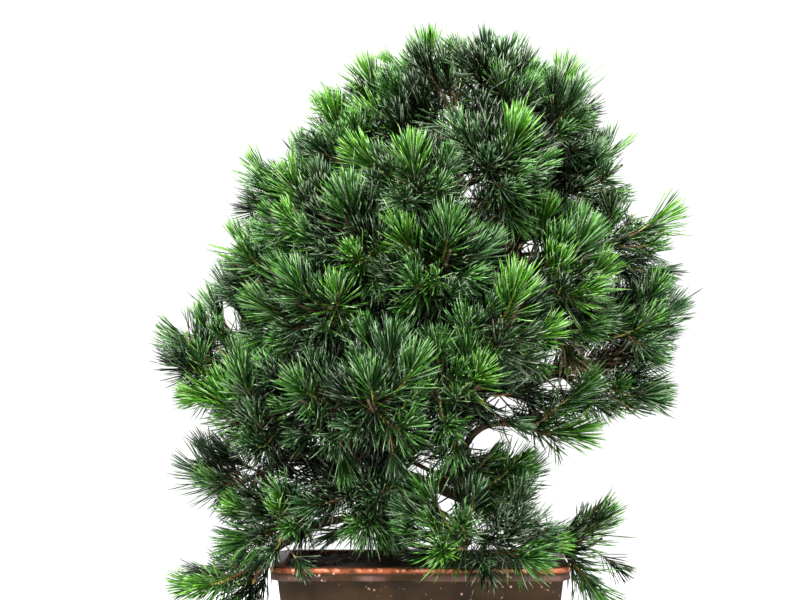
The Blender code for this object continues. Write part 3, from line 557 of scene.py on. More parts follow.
clearGap = 0.0003
goldenAngle = math.radians(137.508)
crownSeed = 11
trunkShape = {
    "bends": ((0.000, -0.024, 0.000), (0.040, -0.042, 0.002), (0.080, -0.064, 0.006), (0.130, -0.068, 0.010),
              (0.185, -0.046, 0.008), (0.245, -0.012, -0.002), (0.310, 0.018, -0.008), (0.375, 0.044, -0.004),
              (0.430, 0.062, 0.002)),
    "radius": 0.0085, "tipRadius": 0.0022, "rings": 18, "flare": 0.95, "flareHeight": 0.011, "lobes": 5,
    "lobeDepth": 0.22}
limbShape = {"first": 0.120, "last": 0.505, "boughShare": 0.46, "boughRadius": 0.0042, "boughRings": 6,
             "bows": (0.010, 0.022, 0.034, -0.004), "sways": (0.0, -0.012, 0.012, -0.026, 0.026),
             "stemRadius": 0.0024, "stemTip": 0.0012, "stemRings": 4, "routePoints": 15}

# each mass: its heading, how far and how high its leading shoot ends, that shoot's lift, its number of
# shoots, and whether a bough carries it
frontMasses = (
    ("low_left_outer", 185, 0.215, 0.066, 5, 3, True),
    ("low_left", 201, 0.181, 0.110, -5, 3, False),
    ("left_reach", 179, 0.209, 0.162, 30, 3, True),
    ("left_lower", 195, 0.191, 0.227, 42, 5, False),
    ("left_tip", 180, 0.232, 0.278, 33, 4, True),
    ("left_mid", 171, 0.202, 0.310, 58, 4, False),
    ("left_upper", 187, 0.177, 0.370, 30, 4, False),
    ("left_shoulder", 173, 0.158, 0.448, 45, 4, True),
    ("shoulder_front", 209, 0.144, 0.430, 50, 4, False),
    ("upper_left", 193, 0.091, 0.494, 62, 4, False),
    ("top_left", 180, 0.046, 0.540, 70, 4, False),
    ("top_centre", 75, 0.031, 0.571, 80, 4, False),
    ("leader", 357, 0.084, 0.565, 86, 5, False),
    ("top_right", 0, 0.144, 0.533, 62, 4, False),
    ("upper_front", 312, 0.128, 0.486, 75, 4, False),
    ("upper_centre", 266, 0.115, 0.462, 65, 5, False),
    ("right_shoulder", 7, 0.196, 0.465, 35, 5, False),
    ("right_upper", 0, 0.230, 0.401, 22, 4, False),
    ("right_tip", 0, 0.237, 0.312, 22, 5, True),
    ("right_middle", 340, 0.177, 0.344, 30, 5, False),
    ("right_lower", 4, 0.218, 0.251, -10, 5, False),
    ("right_front", 330, 0.178, 0.377, 50, 5, False),
    ("front_right", 301, 0.170, 0.331, 60, 5, False),
    ("front_centre", 280, 0.152, 0.380, 35, 5, False),
    ("front_left_upper", 241, 0.144, 0.412, 55, 5, False),
    ("front_left", 226, 0.166, 0.335, 30, 5, False),
    ("front_lower_left", 229, 0.166, 0.245, 20, 5, False),
    ("front_low_centre", 254, 0.172, 0.246, 35, 5, False),
    ("front_low_right", 289, 0.159, 0.259, 20, 5, False),
    ("low_right", 333, 0.099, 0.158, 25, 3, False),
    ("low_right_outer", 353, 0.173, 0.111, 40, 3, True),
    ("low_front_right", 308, 0.158, 0.100, -5, 3, False),
    ("low_front_left", 242, 0.114, 0.130, 5, 4, False),
)
backTiers = ((0.130, 0.150, 5, (62, 122)), (0.235, 0.169, 20, (90, 42, 138)),
             (0.345, 0.168, 38, (112, 58)), (0.435, 0.132, 50, (48, 124)))
backShoots = 5
archBough = {"foot": 0.120, "bend": (0.041, -0.022, 0.196), "end": (0.100, -0.030, 0.215),
             "radii": (0.0046, 0.0036, 0.0026), "hangingEnd": (0.046, -0.086, 0.116), "hangingRadii": (0.0027, 0.0017),
             "mass": ("right_reach", 348, 0.146, 0.210, 5, 3, True),
             "hangingMass": ("low_front", 279, 0.127, 0.109, 0, 4, True)}


class LimbSet:  # every limb as short straight lengths, so that new growth can keep clear of them
    def __init__(self):
        self.starts, self.ends, self.radii, self.owners = np.zeros((0, 3)), np.zeros((0, 3)), np.zeros(0), []

    def add(self, owner, line, radii):
        self.starts, self.ends = np.vstack([self.starts, line[:-1]]), np.vstack([self.ends, line[1:]])
        self.radii = np.append(self.radii, np.maximum(radii[:-1], radii[1:]))
        self.owners += [owner] * (len(line) - 1)

    def others(self, owner):
        keep = np.array([name != owner for name in self.owners])
        return self.starts[keep], self.ends[keep], self.radii[keep]


def outsidePot(points, margin):
    top = soilHeight(1) + margin
    inLength = np.abs(points[:, 0]) < potShape["length"] / 2 + margin
    inDepth = np.abs(points[:, 1]) < potShape["depth"] / 2 + margin
    return ~(inLength & inDepth & (points[:, 2] < top))


def flareAt(climb):
    return trunkShape["flare"] * np.exp(-climb / trunkShape["flareHeight"])


def trunkAt(line, radii, height):
    centre = np.array([np.interp(height, line[:, 2], line[:, axis]) for axis in range(3)])
    return centre, float(np.interp(height, line[:, 2], radii))


def trunkSide(trunk, height, out, limbRadius):
    centre, _ = trunkAt(*trunk, height)
    _, radius = trunkAt(*trunk, height - limbRadius)
    rise = unit(trunkAt(*trunk, height + 0.004)[0] - centre)
    normal = unit(out - rise * np.dot(out, rise))
    return centre + normal * (radius + 2 * clearGap), normal


def budOf(row):
    turn = math.radians(row[1])
    return np.array([row[2] * math.cos(turn), row[2] * math.sin(turn), row[3]])


def routeFromTrunk(row, trunk, height, bow, sway):
    centre, _ = trunkAt(*trunk, height)
    bud = budOf(row)
    out = bud - centre
    out[2] = 0
    distance, level = np.linalg.norm(bud - centre), np.linalg.norm(out)
    out = out / level if level > 0.02 else headingVector(row[1], 0)
    start, normal = trunkSide(trunk, height, out, limbShape["stemRadius"])
    aside = np.array([-out[1], out[0], 0]) * sway
    first = start + out * min(0.4 * distance, 0.8 * level) + aside + np.array([0, 0, bow])
    second = bud - headingVector(row[1], row[4]) * 0.34 * distance
    return bezier(start, first, second, bud, limbShape["routePoints"]), normal


def routeIsClear(line, radii, limbs):
    for index in range(len(line) - 1):
        starts, ends, reach = limbs.others("trunk" if index < 3 else None)
        gaps = segmentGaps(line[index], line[index + 1], starts, ends, reach)
        if gaps.size and gaps.min() < radii[index] + 2 * clearGap:
            return False
    return all(outsidePot(line[index:index + 1], radii[index]).all() for index in range(len(line)))


def attachHeight(row):
    share = (row[3] - 0.066) / (0.571 - 0.066)
    return limbShape["first"] + (limbShape["last"] - limbShape["first"]) * min(max(share, 0), 1)


def settledRoute(row, trunk, limbs):
    wanted = attachHeight(row)
    foot = limbShape["boughRadius"] if row[6] else limbShape["stemRadius"]
    width = limbRadii(limbShape["routePoints"], foot, limbShape["stemTip"])
    shifts = sorted((0.006 * step for step in range(-8, 9)), key=abs)
    for bow, sway, shift in itertools.product(limbShape["bows"], limbShape["sways"], shifts):
        height = min(max(wanted + shift, limbShape["first"]), limbShape["last"])
        line, out = routeFromTrunk(row, trunk, height, bow, sway)
        if routeIsClear(line, width, limbs):
            return line, width, out
    raise ValueError(f"no clear way for the limb of {row[0]}")


def splitLine(line, radii, share):
    length = runAlong(line)[-1]
    cut = share * length
    low = stretch(line, radii, 0, cut, limbShape["boughRings"])
    return low, stretch(line, radii, cut + clearGap, length, limbShape["routePoints"])


def planArch(trunk, limbs):
    bend, end = np.array(archBough["bend"]), np.array(archBough["end"])
    hangingEnd, radii = np.array(archBough["hangingEnd"]), archBough["radii"]
    rings = limbShape["boughRings"]
    centre, _ = trunkAt(*trunk, archBough["foot"])
    foot, out = trunkSide(trunk, archBough["foot"], unit((bend - centre) * (1, 1, 0)), radii[0])
    lower = bezier(foot, foot + (0.030, 0, 0.022), bend - (0.009, 0, 0.025), bend, rings)
    axis = unit(lower[-1] - lower[-2])
    start = bend + axis * clearGap
    upper = bezier(start, start + axis * 0.026, end + (-0.026, 0, 0.010), end, rings)
    down = unit(np.cross(axis, (0, 1, 0)))
    top = bend - axis * archBough["hangingRadii"][0] * 1.2 + down * (radii[1] + 3 * clearGap)
    hanging = bezier(top, top + (0.010, -0.006, -0.030), hangingEnd + (0, 0.012, 0.030), hangingEnd, rings)
    boughs = {
        "arch_lower_bough": (lower, limbRadii(rings, radii[0], radii[1]), out),
        "arch_upper_bough": (upper, limbRadii(rings, radii[1] * 0.95, radii[2]), axis),
        "hanging_bough": (hanging, limbRadii(rings, *archBough["hangingRadii"]), down)}
    for name, (line, widths, _) in boughs.items():
        limbs.add(name, line, widths)
    return boughs


def planArchStems(boughs, limbs):
    stems = {}
    for row, boughName in ((archBough["mass"], "arch_upper_bough"), (archBough["hangingMass"], "hanging_bough")):
        bough, radii, _ = boughs[boughName]
        axis = unit(bough[-1] - bough[-2])
        start, bud = bough[-1] + axis * clearGap, budOf(row)
        reach, lead = np.linalg.norm(bud - start), headingVector(row[1], row[4])
        stem = bezier(start, start + axis * 0.3 * reach, bud - lead * 0.5 * reach, bud, limbShape["routePoints"])
        widths = limbRadii(len(stem), radii[-1] * 0.8, limbShape["stemTip"])
        limbs.add(row[0], stem, widths)
        stems[row[0]] = (stem, widths, axis, None)
    return stems


def backMasses():
    rows = []
    for tier, (height, reach, lift, headings) in enumerate(backTiers):
        for place, heading in enumerate(headings):
            name = f"back_{tier + 1}_{place + 1}"
            rows.append((name, heading, reach, height + 0.012 * (place % 2), lift, backShoots, place == 0))
    return rows


def planLimbs(rows, trunk, limbs):
    plans = {}
    for row in sorted(rows, key=lambda item: -item[2]):
        line, widths, out = settledRoute(row, trunk, limbs)
        if row[6]:
            (bough, boughRadii), (stem, _) = splitLine(line, widths, limbShape["boughShare"])
            axis = unit(bough[-1] - bough[-2])
            stemWidths = limbRadii(len(stem), boughRadii[-1] * 0.8, limbShape["stemTip"])
            limbs.add(row[0] + "_bough", bough, boughRadii)
            plans[row[0]] = (stem, stemWidths, axis, (bough, boughRadii, out))
        else:
            stem, stemWidths = line, limbRadii(len(line), limbShape["stemRadius"], limbShape["stemTip"])
            plans[row[0]] = (stem, stemWidths, out, None)
        limbs.add(row[0], stem, stemWidths)
    return plans


trunkFoot = soilHeight(1) + clearGap
trunkKnots = [(x, y, trunkFoot + z) for z, x, y in trunkShape["bends"]]
trunkLine = smoothLine(trunkKnots, trunkShape["rings"])
trunkClimb = (trunkLine[:, 2] - trunkLine[0, 2]) / (trunkLine[-1, 2] - trunkLine[0, 2])
trunkWidths = trunkShape["tipRadius"] + (trunkShape["radius"] - trunkShape["tipRadius"]) * (1 - trunkClimb)**0.85
widestTrunk = trunkWidths * (1 + flareAt(trunkLine[:, 2] - trunkLine[0, 2]) * (1 + trunkShape["lobeDepth"]))
trunk = (trunkLine, widestTrunk)
limbs = LimbSet()
limbs.add("trunk", *trunk)
boughPlans = planArch(trunk, limbs)
massPlans = planArchStems(boughPlans, limbs)
massRows = list(frontMasses) + backMasses()
massPlans.update(planLimbs(massRows, trunk, limbs))
massRows += [archBough["mass"], archBough["hangingMass"]]
for row in massRows:
    if massPlans[row[0]][3]:
        boughPlans[row[0] + "_bough"] = massPlans[row[0]][3]
missing = set(boughNames) ^ set(boughPlans) | set(massNames) ^ {row[0] for row in massRows}
if missing:
    raise ValueError(f"the plan and the frame name different limbs: {sorted(missing)}")
print("limbs:", len(boughPlans), "boughs and", len(massPlans), "stems have their way")


# bark: plates with cracks between them on the trunk, finer scales on the boughs

barkLook = {"trunkSides": 36, "trunkRings": 280, "boughSides": 14, "boughStep": 0.0016, "plateSize": 0.0062,
            "plateDepth": 0.0008, "boughDepth": 0.00035, "intoSoil": 0.004, "intoTrunk": 0.004}


def plateRelief(point, size):  # 0 on a plate, 1 in the crack beside it
    warp = 0.25 * size * noise.noise_vector(Vector(point) / size * 1.3)
    stretched = (Vector(point) + warp) * (1 / size)
    stretched[2] *= 0.55
    near, _ = noise.voronoi(stretched)
    return max(0.0, 1 - (near[1] - near[0]) * 4.5)


def barkTube(line, radii, sides, depth, size, widen=None):
    points, faceSets = tubeParts(line, radii, sides)
    for index in range(len(line) * sides):
        centre = line[index // sides]
        outward = points[index] - centre
        if widen is not None:
            outward = widen(points[index], outward)
        length = max(np.linalg.norm(outward), 1e-9)
        point = centre + outward
        push = -depth * plateRelief(point, size) + 0.35 * depth * noise.noise(Vector(point * 900))
        points[index] = point + outward / length * push * min(1, length / 0.004)
    return points, faceSets


def makeBark(material):
    bark = Gather()
    length = runAlong(trunkLine)[-1]
    fine = smoothLine(trunkKnots, barkLook["trunkRings"])
    climb = (fine[:, 2] - fine[0, 2]) / (fine[-1, 2] - fine[0, 2])
    radii = trunkShape["tipRadius"] + (trunkShape["radius"] - trunkShape["tipRadius"]) * (1 - climb)**0.85
    foot = fine[:1] - [0, 0, barkLook["intoSoil"]]
    fine, radii = np.vstack([foot, fine]), np.append(radii[0], radii)

    def rootLobes(point, outward):
        lobe = 1 + trunkShape["lobeDepth"] * math.cos(trunkShape["lobes"] * math.atan2(outward[1], outward[0]))
        spread = 1 + flareAt(max(point[2] - trunkLine[0, 2], 0)) * lobe
        return outward * (spread, spread, 1)

    bark.add(*barkTube(fine, radii, barkLook["trunkSides"], barkLook["plateDepth"], barkLook["plateSize"], rootLobes))
    trunkPiece = bark.build("trunk_bark", [material])
    limbBark = Gather()
    for name, (line, widths, normal) in boughPlans.items():
        way = np.vstack([line[:1] - unit(normal) * barkLook["intoTrunk"], line])
        if name in ("arch_upper_bough", "hanging_bough"):
            way[0] = line[0] - unit(normal) * 0.002
        widths = np.append(widths[0], widths)
        count = max(int(runAlong(way)[-1] / barkLook["boughStep"]), 8)
        knots = smoothLine(way, count)
        radii = np.interp(np.linspace(0, 1, count), np.linspace(0, 1, len(widths)), widths)
        limbBark.add(*barkTube(knots, radii, barkLook["boughSides"], barkLook["boughDepth"], 0.0035))
    return trunkPiece, limbBark.build("bough_bark", [material])


barkMaterial = grainMaterial("pine_bark", {
    "deep": (0.030, 0.018, 0.012), "light": (0.200, 0.115, 0.070), "scale": 190, "detail": 7,
    "spread": (0.34, 0.66), "roughness": (0.75, 0.98), "bump": 0.6, "bumpDepth": 0.0006})
trunkBark, boughBark = makeBark(barkMaterial)
print("bark:", len(trunkBark.data.polygons), "faces on the trunk,", len(boughBark.data.polygons), "on the boughs")


# the shoots of each mass, grown by the solids' rule and carried on to finer twigs

shootRule = {"lead": 0.030, "side": 0.022, "fine": 0.016, "inner": 0.015, "radius": 0.0030, "spacing": 0.019,
             "fineSpacing": 0.012, "twigReach": 0.050, "twigAngle": math.radians(58), "twigStep": 0.013,
             "tries": 32, "twigRadius": 0.0011, "fineReach": 0.028, "innerReach": 0.026, "innerStep": 0.020,
             "crownMiddle": (0.0, 0.0, 0.300), "heldBack": 0.004, "leastSpread": 0.160, "pathPoints": 14,
             "lift": {"lead": 0.55, "side": 0.60, "fine": 0.30, "inner": 0.0}, "fineDepth": 0.006, "leadPath": 0.105, "bareFoot": 0.36, "stemShoots": (0.004, 0.018, 0.032), "stemReach": 0.034}


# where the front view shows sky, in pixels of the 800 x 600 photo: middle and half sizes
skyOpenings = (
    (503, 403, 15, 11), (560, 383, 12, 6), (485, 440, 17, 13), (520, 443, 14, 8), (422, 468, 13, 8),
    (445, 500, 8, 15), (337, 525, 7, 5), (318, 534, 7, 4), (287, 551, 9, 5), (530, 248, 9, 7),
    (345, 290, 9, 4), (548, 361, 10, 4), (230, 316, 8, 15), (184, 448, 12, 11))
outlineBites = (
    (640, 164, 26, 24), (648, 206, 26, 10), (676, 256, 20, 8), (640, 432, 40, 20), (588, 476, 52, 28),
    (566, 508, 16, 16), (272, 146, 20, 15), (176, 314, 20, 15), (190, 545, 22, 24), (505, 24, 12, 8),
    (392, 38, 11, 16), (222, 236, 12, 12), (626, 128, 14, 12))
deadPatches = ((592, 362, 30, 22), (501, 271, 9, 12), (413, 199, 8, 8), (475, 300, 8, 6))
pixelSize = view["sensor"] / view["lens"] / 800


def photoPixels(points):
    away = points[:, 1] - view["place"][1]
    across = (points[:, 0] - view["place"][0]) / away
    up = (points[:, 2] - view["place"][2]) / away
    return 400 + across / pixelSize, 300 - up / pixelSize


def seenIn(points, patches, reach=1.0):  # reach over 1 takes in a patch's rim too
    right, down = photoPixels(points)
    hit = np.zeros(len(points), bool)
    for x, y, halfWidth, halfHeight in patches:
        hit |= ((right - x) / halfWidth)**2 + ((down - y) / halfHeight)**2 < reach**2
    return hit


def inSky(points, reach=1.0):
    return seenIn(points, skyOpenings, reach) | seenIn(points, outlineBites, reach)


def cellWalls(index, centres, spreads):
    own, normals, places = centres[index], [], []
    for other, centre in enumerate(centres):
        if other == index:
            continue
        apart = centre - own
        distance = np.linalg.norm(apart)
        normals.append(apart / distance)
        places.append((distance**2 + spreads[index]**2 - spreads[other]**2) / (2 * distance))
    return np.array(normals), np.array(places) + np.array(normals) @ own


def turnedUp(path, lift):  # the outer half of a shoot turns up to the light
    steps = np.diff(path, axis=0)
    lengths = np.linalg.norm(steps, axis=1)[:, None]
    share = np.linspace(0, 1, len(steps))[:, None]
    ways = rowUnit(steps / lengths + np.array([0, 0, lift]) * share**1.5)
    return np.vstack([path[:1], path[0] + np.cumsum(ways * lengths, axis=0)])


class Mass:  # one mass while it grows: its own space, what it has to miss, and its shoots so far
    def __init__(self, row, walls, limbs):
        self.row, self.walls, self.others = row, walls, limbs.others(row[0])
        self.shoots, self.twigs, self.kinds, self.paths = [], [], [], []
        self.outward = unit(budOf(row) - shootRule["crownMiddle"])
        self.furthest = self.outward @ budOf(row) - shootRule["heldBack"]
        self.spread = max(row[2], shootRule["leastSpread"])
        self.upright = min(max((row[4] - 5) / 30, 0), 1) * (row[4] < 65)  # drooping and steep shoots don't turn up

    def room(self, point):
        normals, places = self.walls
        return (places - normals @ point - clearGap).min()

    def limbGap(self, start, end):
        return segmentGaps(start, end, *self.others).min()

    def shootGap(self, start, end):
        if not self.shoots:
            return 1.0
        starts, ends = (np.array([shoot[side] for shoot in self.shoots]) for side in (0, 1))
        return segmentGaps(start, end, starts, ends, np.zeros(len(starts))).min()

    def inReach(self, tip):
        return self.outward @ tip <= self.furthest and math.hypot(tip[0], tip[1]) <= self.spread

    def fits(self, start, end, radius):
        return (self.room(end) > radius + 0.0015 and self.limbGap(start, end) > radius + 0.0012
                and outsidePot(np.array([start, (start + end) / 2, end]), radius + 0.002).all())

    def keep(self, kind, start, end, tip):
        self.shoots.append((end, tip))
        self.kinds.append(kind)
        self.twigs.append((start, end))
        path = smoothLine([start, end, tip], shootRule["pathPoints"])
        self.paths.append(turnedUp(path, shootRule["lift"][kind] * self.upright))


def growSideShoots(mass, stem, chance):
    lead, length = headingVector(mass.row[1], mass.row[4]), runAlong(stem)[-1]
    turn = chance.uniform(0, math.tau)
    for shoot in range(1, mass.row[5]):
        for attempt in range(shootRule["tries"]):
            back = 0.008 + shootRule["twigStep"] * (shoot - 1 + attempt // 8)
            place = max(length - back, 0.2 * length)
            start = pointAlong(stem, place)
            axis = unit(pointAlong(stem, place + 0.004) - start)
            first, second = sideVectors(axis)
            angle = turn + shoot * goldenAngle + attempt * 0.45
            side = math.cos(angle) * first + math.sin(angle) * second
            reach = shootRule["twigReach"] * (1 - 0.04 * (attempt % 4)) * (0.85 + 0.1 * (shoot % 3))
            out = unit(math.cos(shootRule["twigAngle"]) * axis + math.sin(shootRule["twigAngle"]) * side)
            late = unit(out + 0.45 * lead + np.array([0, 0, 0.25]))
            end = start + (out + late) * reach / 2
            tip = end + late * shootRule["side"]
            if not mass.inReach(tip) or mass.shootGap(end, tip) < shootRule["spacing"]:
                continue
            offStem = start + 0.1 * (end - start)
            if mass.fits(offStem, end, shootRule["twigRadius"]) and mass.fits(end, tip, shootRule["radius"]):
                mass.keep("side", start, end, tip)
                break


def growFromLine(mass, line, place, turn, reach, kind, chance):
    lead = headingVector(mass.row[1], mass.row[4])
    for attempt in range(10):
        start = pointAlong(line, place)
        axis = unit(pointAlong(line, place + 0.002) - pointAlong(line, place - 0.002))
        first, second = sideVectors(axis)
        angle = turn + attempt * 0.63
        side = math.cos(angle) * first + math.sin(angle) * second
        out = unit(0.62 * axis + 0.78 * side)
        late = unit(out + 0.35 * lead + np.array([0, 0, 0.30]))
        end = start + (out + late) * reach * chance.uniform(0.8, 1.1) / 2
        tip = end + late * shootRule[kind]
        if not mass.inReach(tip) or mass.shootGap(end, tip) < shootRule["fineSpacing"]:
            continue
        if mass.outward @ tip > mass.furthest - shootRule["fineDepth"]:
            continue
        if mass.fits(start + 0.2 * (end - start), end, 0.0006) and mass.fits(end, tip, 0.0010):
            mass.keep(kind, start, end, tip)
            return


def growMass(row, walls):
    stem, widths, _, _ = massPlans[row[0]]
    chance = random.Random(f"{crownSeed} {row[0]}")
    mass = Mass(row, walls, limbs)
    length = runAlong(stem)[-1]
    line, _ = stretch(stem, widths, 0, length - shootRule["lead"], limbShape["stemRings"])
    mass.shoots.append((line[-1].copy(), stem[-1]))
    mass.kinds.append("lead")
    leadFoot = max(length - shootRule["leadPath"], 0.1 * length)
    leadPath, _ = stretch(stem, widths, leadFoot, length, shootRule["pathPoints"])
    mass.paths.append(turnedUp(leadPath, shootRule["lift"]["lead"] * mass.upright))
    growSideShoots(mass, line, chance)
    for number, twig in enumerate(list(mass.twigs)):
        way = np.array(twig)
        for rank, share in enumerate((0.42, 0.78)):
            turn = number * goldenAngle + rank * math.pi + 0.7
            growFromLine(mass, way, share * runAlong(way)[-1], turn, shootRule["fineReach"], "fine", chance)
    for number, back in enumerate(shootRule["stemShoots"]):
        place = length - shootRule["lead"] - back
        for rank in range(2 * (place > 0.3 * length)):
            turn = number * goldenAngle + rank * math.pi + 1.9
            growFromLine(mass, stem, place, turn, shootRule["stemReach"], "fine", chance)
    places = np.arange(length - shootRule["lead"] - 0.012, 0.15 * length, -shootRule["innerStep"])
    for number, place in enumerate(places):
        for rank in range(3):
            turn = number * goldenAngle + rank * 2.1
            growFromLine(mass, stem, place, turn, shootRule["innerReach"], "inner", chance)
    return mass


coreLook = {"step": 0.0105, "boughStep": 0.018, "reach": (0.050, 0.088), "highest": 0.545, "perPlace": 2,
            "bareBoughs": ("low_", "left_reach", "arch_", "hanging_")}


# the needles of these core shoots take the deep tone, painted shade deep in the crown
def growOnTrunk():  # dark shoots straight off the trunk and the boughs, deep in the crown
    chance = random.Random(crownSeed)
    paths = []
    lines = [(trunkLine, 0.05, coreLook["step"])]
    lines += [(plan[0], 0.02, coreLook["boughStep"]) for name, plan in boughPlans.items()
              if not name.startswith(coreLook["bareBoughs"])]
    for line, first, step in lines:
        for number, place in enumerate(np.arange(first, runAlong(line)[-1], step / coreLook["perPlace"])):
            start = pointAlong(line, place)
            axis = unit(pointAlong(line, place + 0.002) - pointAlong(line, place - 0.002))
            across, up = sideVectors(axis)
            angle = number * goldenAngle + chance.uniform(-0.3, 0.3)
            out = unit(0.30 * axis + math.cos(angle) * across + math.sin(angle) * up + np.array([0, 0, 0.15]))
            end = start + out * chance.uniform(*coreLook["reach"])
            tip = end + unit(out + np.array([0, 0, 0.5])) * 0.016
            if tip[2] < coreLook["highest"] and outsidePot(np.array([start, end, tip]), 0.004).all():
                paths.append(smoothLine([start, end, tip], shootRule["pathPoints"]))
    return paths


# shoots that stand alone in the photo: the limb each grows from, how far along it, and where its bud is
placedShoots = (
    ("left_lower", 0.80, "lead", (-0.203, -0.052, 0.246)),
    ("trunk", 0.03, "inner", (-0.075, 0.020, 0.112)),
    ("trunk", 0.04, "inner", (-0.085, -0.030, 0.116)),
    ("trunk", 0.05, "inner", (-0.060, 0.050, 0.120)),
    ("trunk", 0.06, "inner", (-0.110, 0.010, 0.120)),
    ("trunk", 0.04, "inner", (0.020, 0.040, 0.115)),
    ("trunk", 0.05, "inner", (0.030, -0.020, 0.118)),
    ("low_left_outer", 0.10, "stub", (-0.158, -0.020, 0.068)),
    ("trunk", 0.93, "fine", (0.012, -0.050, 0.492)),
    ("trunk", 0.88, "fine", (0.020, 0.045, 0.480)),
    ("arch_upper_bough", 0.45, "fine", (0.110, -0.020, 0.240)),
    ("arch_upper_bough", 0.90, "fine", (0.160, -0.010, 0.240)),
    ("right_reach", 0.30, "fine", (0.128, -0.060, 0.196)),
    ("low_right_outer", 0.45, "side", (0.166, -0.040, 0.060)),
    ("low_right_outer", 0.20, "side", (0.160, 0.040, 0.066)),
    ("low_right_outer", 0.60, "fine", (0.190, 0.000, 0.080)))


def handShoots():
    lines = {name: plan[0] for name, plan in list(massPlans.items()) + list(boughPlans.items())}
    lines["trunk"] = trunkLine
    made = []
    for limb, share, kind, bud in placedShoots:
        line = lines[limb]
        start, bud = pointAlong(line, share * runAlong(line)[-1]), np.array(bud)
        bend = (start + bud) / 2 + np.array([0, 0, 0.16 * np.linalg.norm(bud - start)])
        made.append((kind, smoothLine([start, bend, bud], shootRule["pathPoints"])))
    for bough in ("arch_lower_bough", "arch_upper_bough", "hanging_bough"):
        made.append(("old", lines[bough]))
    return made


centres = [budOf(row) - 0.022 * headingVector(row[1], row[4]) for row in massRows]
spreads = [0.008 * row[5] for row in massRows]
masses = [growMass(row, cellWalls(index, centres, spreads)) for index, row in enumerate(massRows)]
shoots = [(kind, path) for mass in masses for kind, path in zip(mass.kinds, mass.paths)]
shoots += [("core", path) for path in growOnTrunk()]
shoots += handShoots()
shoots = [(kind, path) for kind, path in shoots if kind in ("lead", "old", "stub") or not inSky(path[-6:]).any()]
bareFeet = np.random.default_rng(crownSeed + 4).random(len(shoots)) < shootRule["bareFoot"]
print("shoots:", {kind: sum(kind == item[0] for item in shoots) for kind in ("lead", "side", "fine", "inner", "core")})


# stems, twigs and the young shoots' own stems, in two joined pieces, the leading and side shoots apart from the rest

twigLook = {"stemSides": 7, "stemRings": 30, "sides": {"lead": 6, "side": 6, "fine": 4, "inner": 4, "core": 4, "stub": 7},
            "radius": {"lead": 0.0015, "side": 0.00135, "fine": 0.0009, "inner": 0.00085, "core": 0.0009,
                       "stub": 0.0026}, "tip": 0.62,
            "nodeStep": 0.0011, "oldStep": 0.0042, "nodeSwell": 0.15,
            "youngLength": {"lead": 0.042, "side": 0.036, "fine": 0.018, "inner": 0.010, "core": 0.006, "stub": 0.004}, "bareMore": 1.35,
            "budRadius": 0.0013, "budLength": 0.0042}


def twigTube(path, kind, bare, chance):  # one twig; its outer end is young, and on the larger ones shows its nodes
    length = runAlong(path)[-1]
    noded = kind in ("lead", "side")
    young = twigLook["youngLength"][kind] * (twigLook["bareMore"] if noded and bare else 1)
    young = min(young, 0.8 * length)
    oldPlaces = np.linspace(0, length - young, max(int((length - young) / twigLook["oldStep"]), 2) + 1)
    step = twigLook["nodeStep"] if noded else twigLook["oldStep"]
    youngPlaces = np.linspace(length - young, length, max(int(young / step), 3) + 1)[1:]
    places = np.concatenate([oldPlaces, youngPlaces])
    count, sides = len(places), twigLook["sides"][kind]
    line = pointAlong(path, places)
    radii = (1 - (1 - twigLook["tip"]) * (places / length)**2) * twigLook["radius"][kind]
    swell = np.where(np.arange(count) >= len(oldPlaces), np.arange(count) % 2 * 2 - 1, 0) * noded
    radii = radii * (1 + twigLook["nodeSwell"] * swell) * (1 + 0.07 * chance.uniform(-1, 1, count))
    points, (quads, caps) = tubeParts(line, radii, sides)
    fresh = 2 if (noded and bare) or chance.random() < (0.65 if noded else 0.25) else 1
    slots = np.where(places[1:] <= length - young, int(chance.random() < 0.4), fresh)
    capSlots = np.concatenate([np.zeros(sides), np.full(sides, fresh)])
    return points, [quads, caps], {4: np.repeat(slots, sides), 3: capSlots}


def addBud(gather, path, kind):
    axis = unit(path[-1] - path[-2])
    places, bulge = ((-0.25, 0.1, 0.45, 0.8, 1.0), (0.5, 1.0, 0.95, 0.55, 0.12))
    if kind not in ("lead", "side"):
        places, bulge = (-0.2, 0.35, 1.0), (0.5, 0.95, 0.12)
    line = path[-1] + axis * twigLook["budLength"] * np.array(places)[:, None]
    radii = np.array(bulge) * twigLook["budRadius"] * (0.7 + 0.3 * (kind == "lead"))
    gather.add(*tubeParts(line, radii, twigLook["sides"][kind]), 3)


def makeTwigs(materials):
    chance = np.random.default_rng(crownSeed)
    stems, leading = Gather(), Gather()
    for mass in masses:
        stem, widths, normal, _ = massPlans[mass.row[0]]
        way = np.vstack([stem[:1] - unit(normal) * 0.003, stem])
        count = twigLook["stemRings"]
        fine = smoothLine(way, count)
        radii = np.interp(np.linspace(0, 1, count), np.linspace(0, 1, len(way)), np.append(widths[0], widths))
        radii = radii * (1 + 0.09 * chance.uniform(-1, 1, count))
        stems.add(*tubeParts(fine, radii, twigLook["stemSides"]), 0)
    for (kind, path), bare in zip(shoots, bareFeet):
        if kind == "old":
            continue
        gather = leading if kind in ("lead", "side") else stems
        gather.add(*twigTube(path, kind, bare, chance))
        if kind != "stub":
            addBud(gather, path, kind)
    return stems.build("twigs", materials), leading.build("leading_shoots", materials)


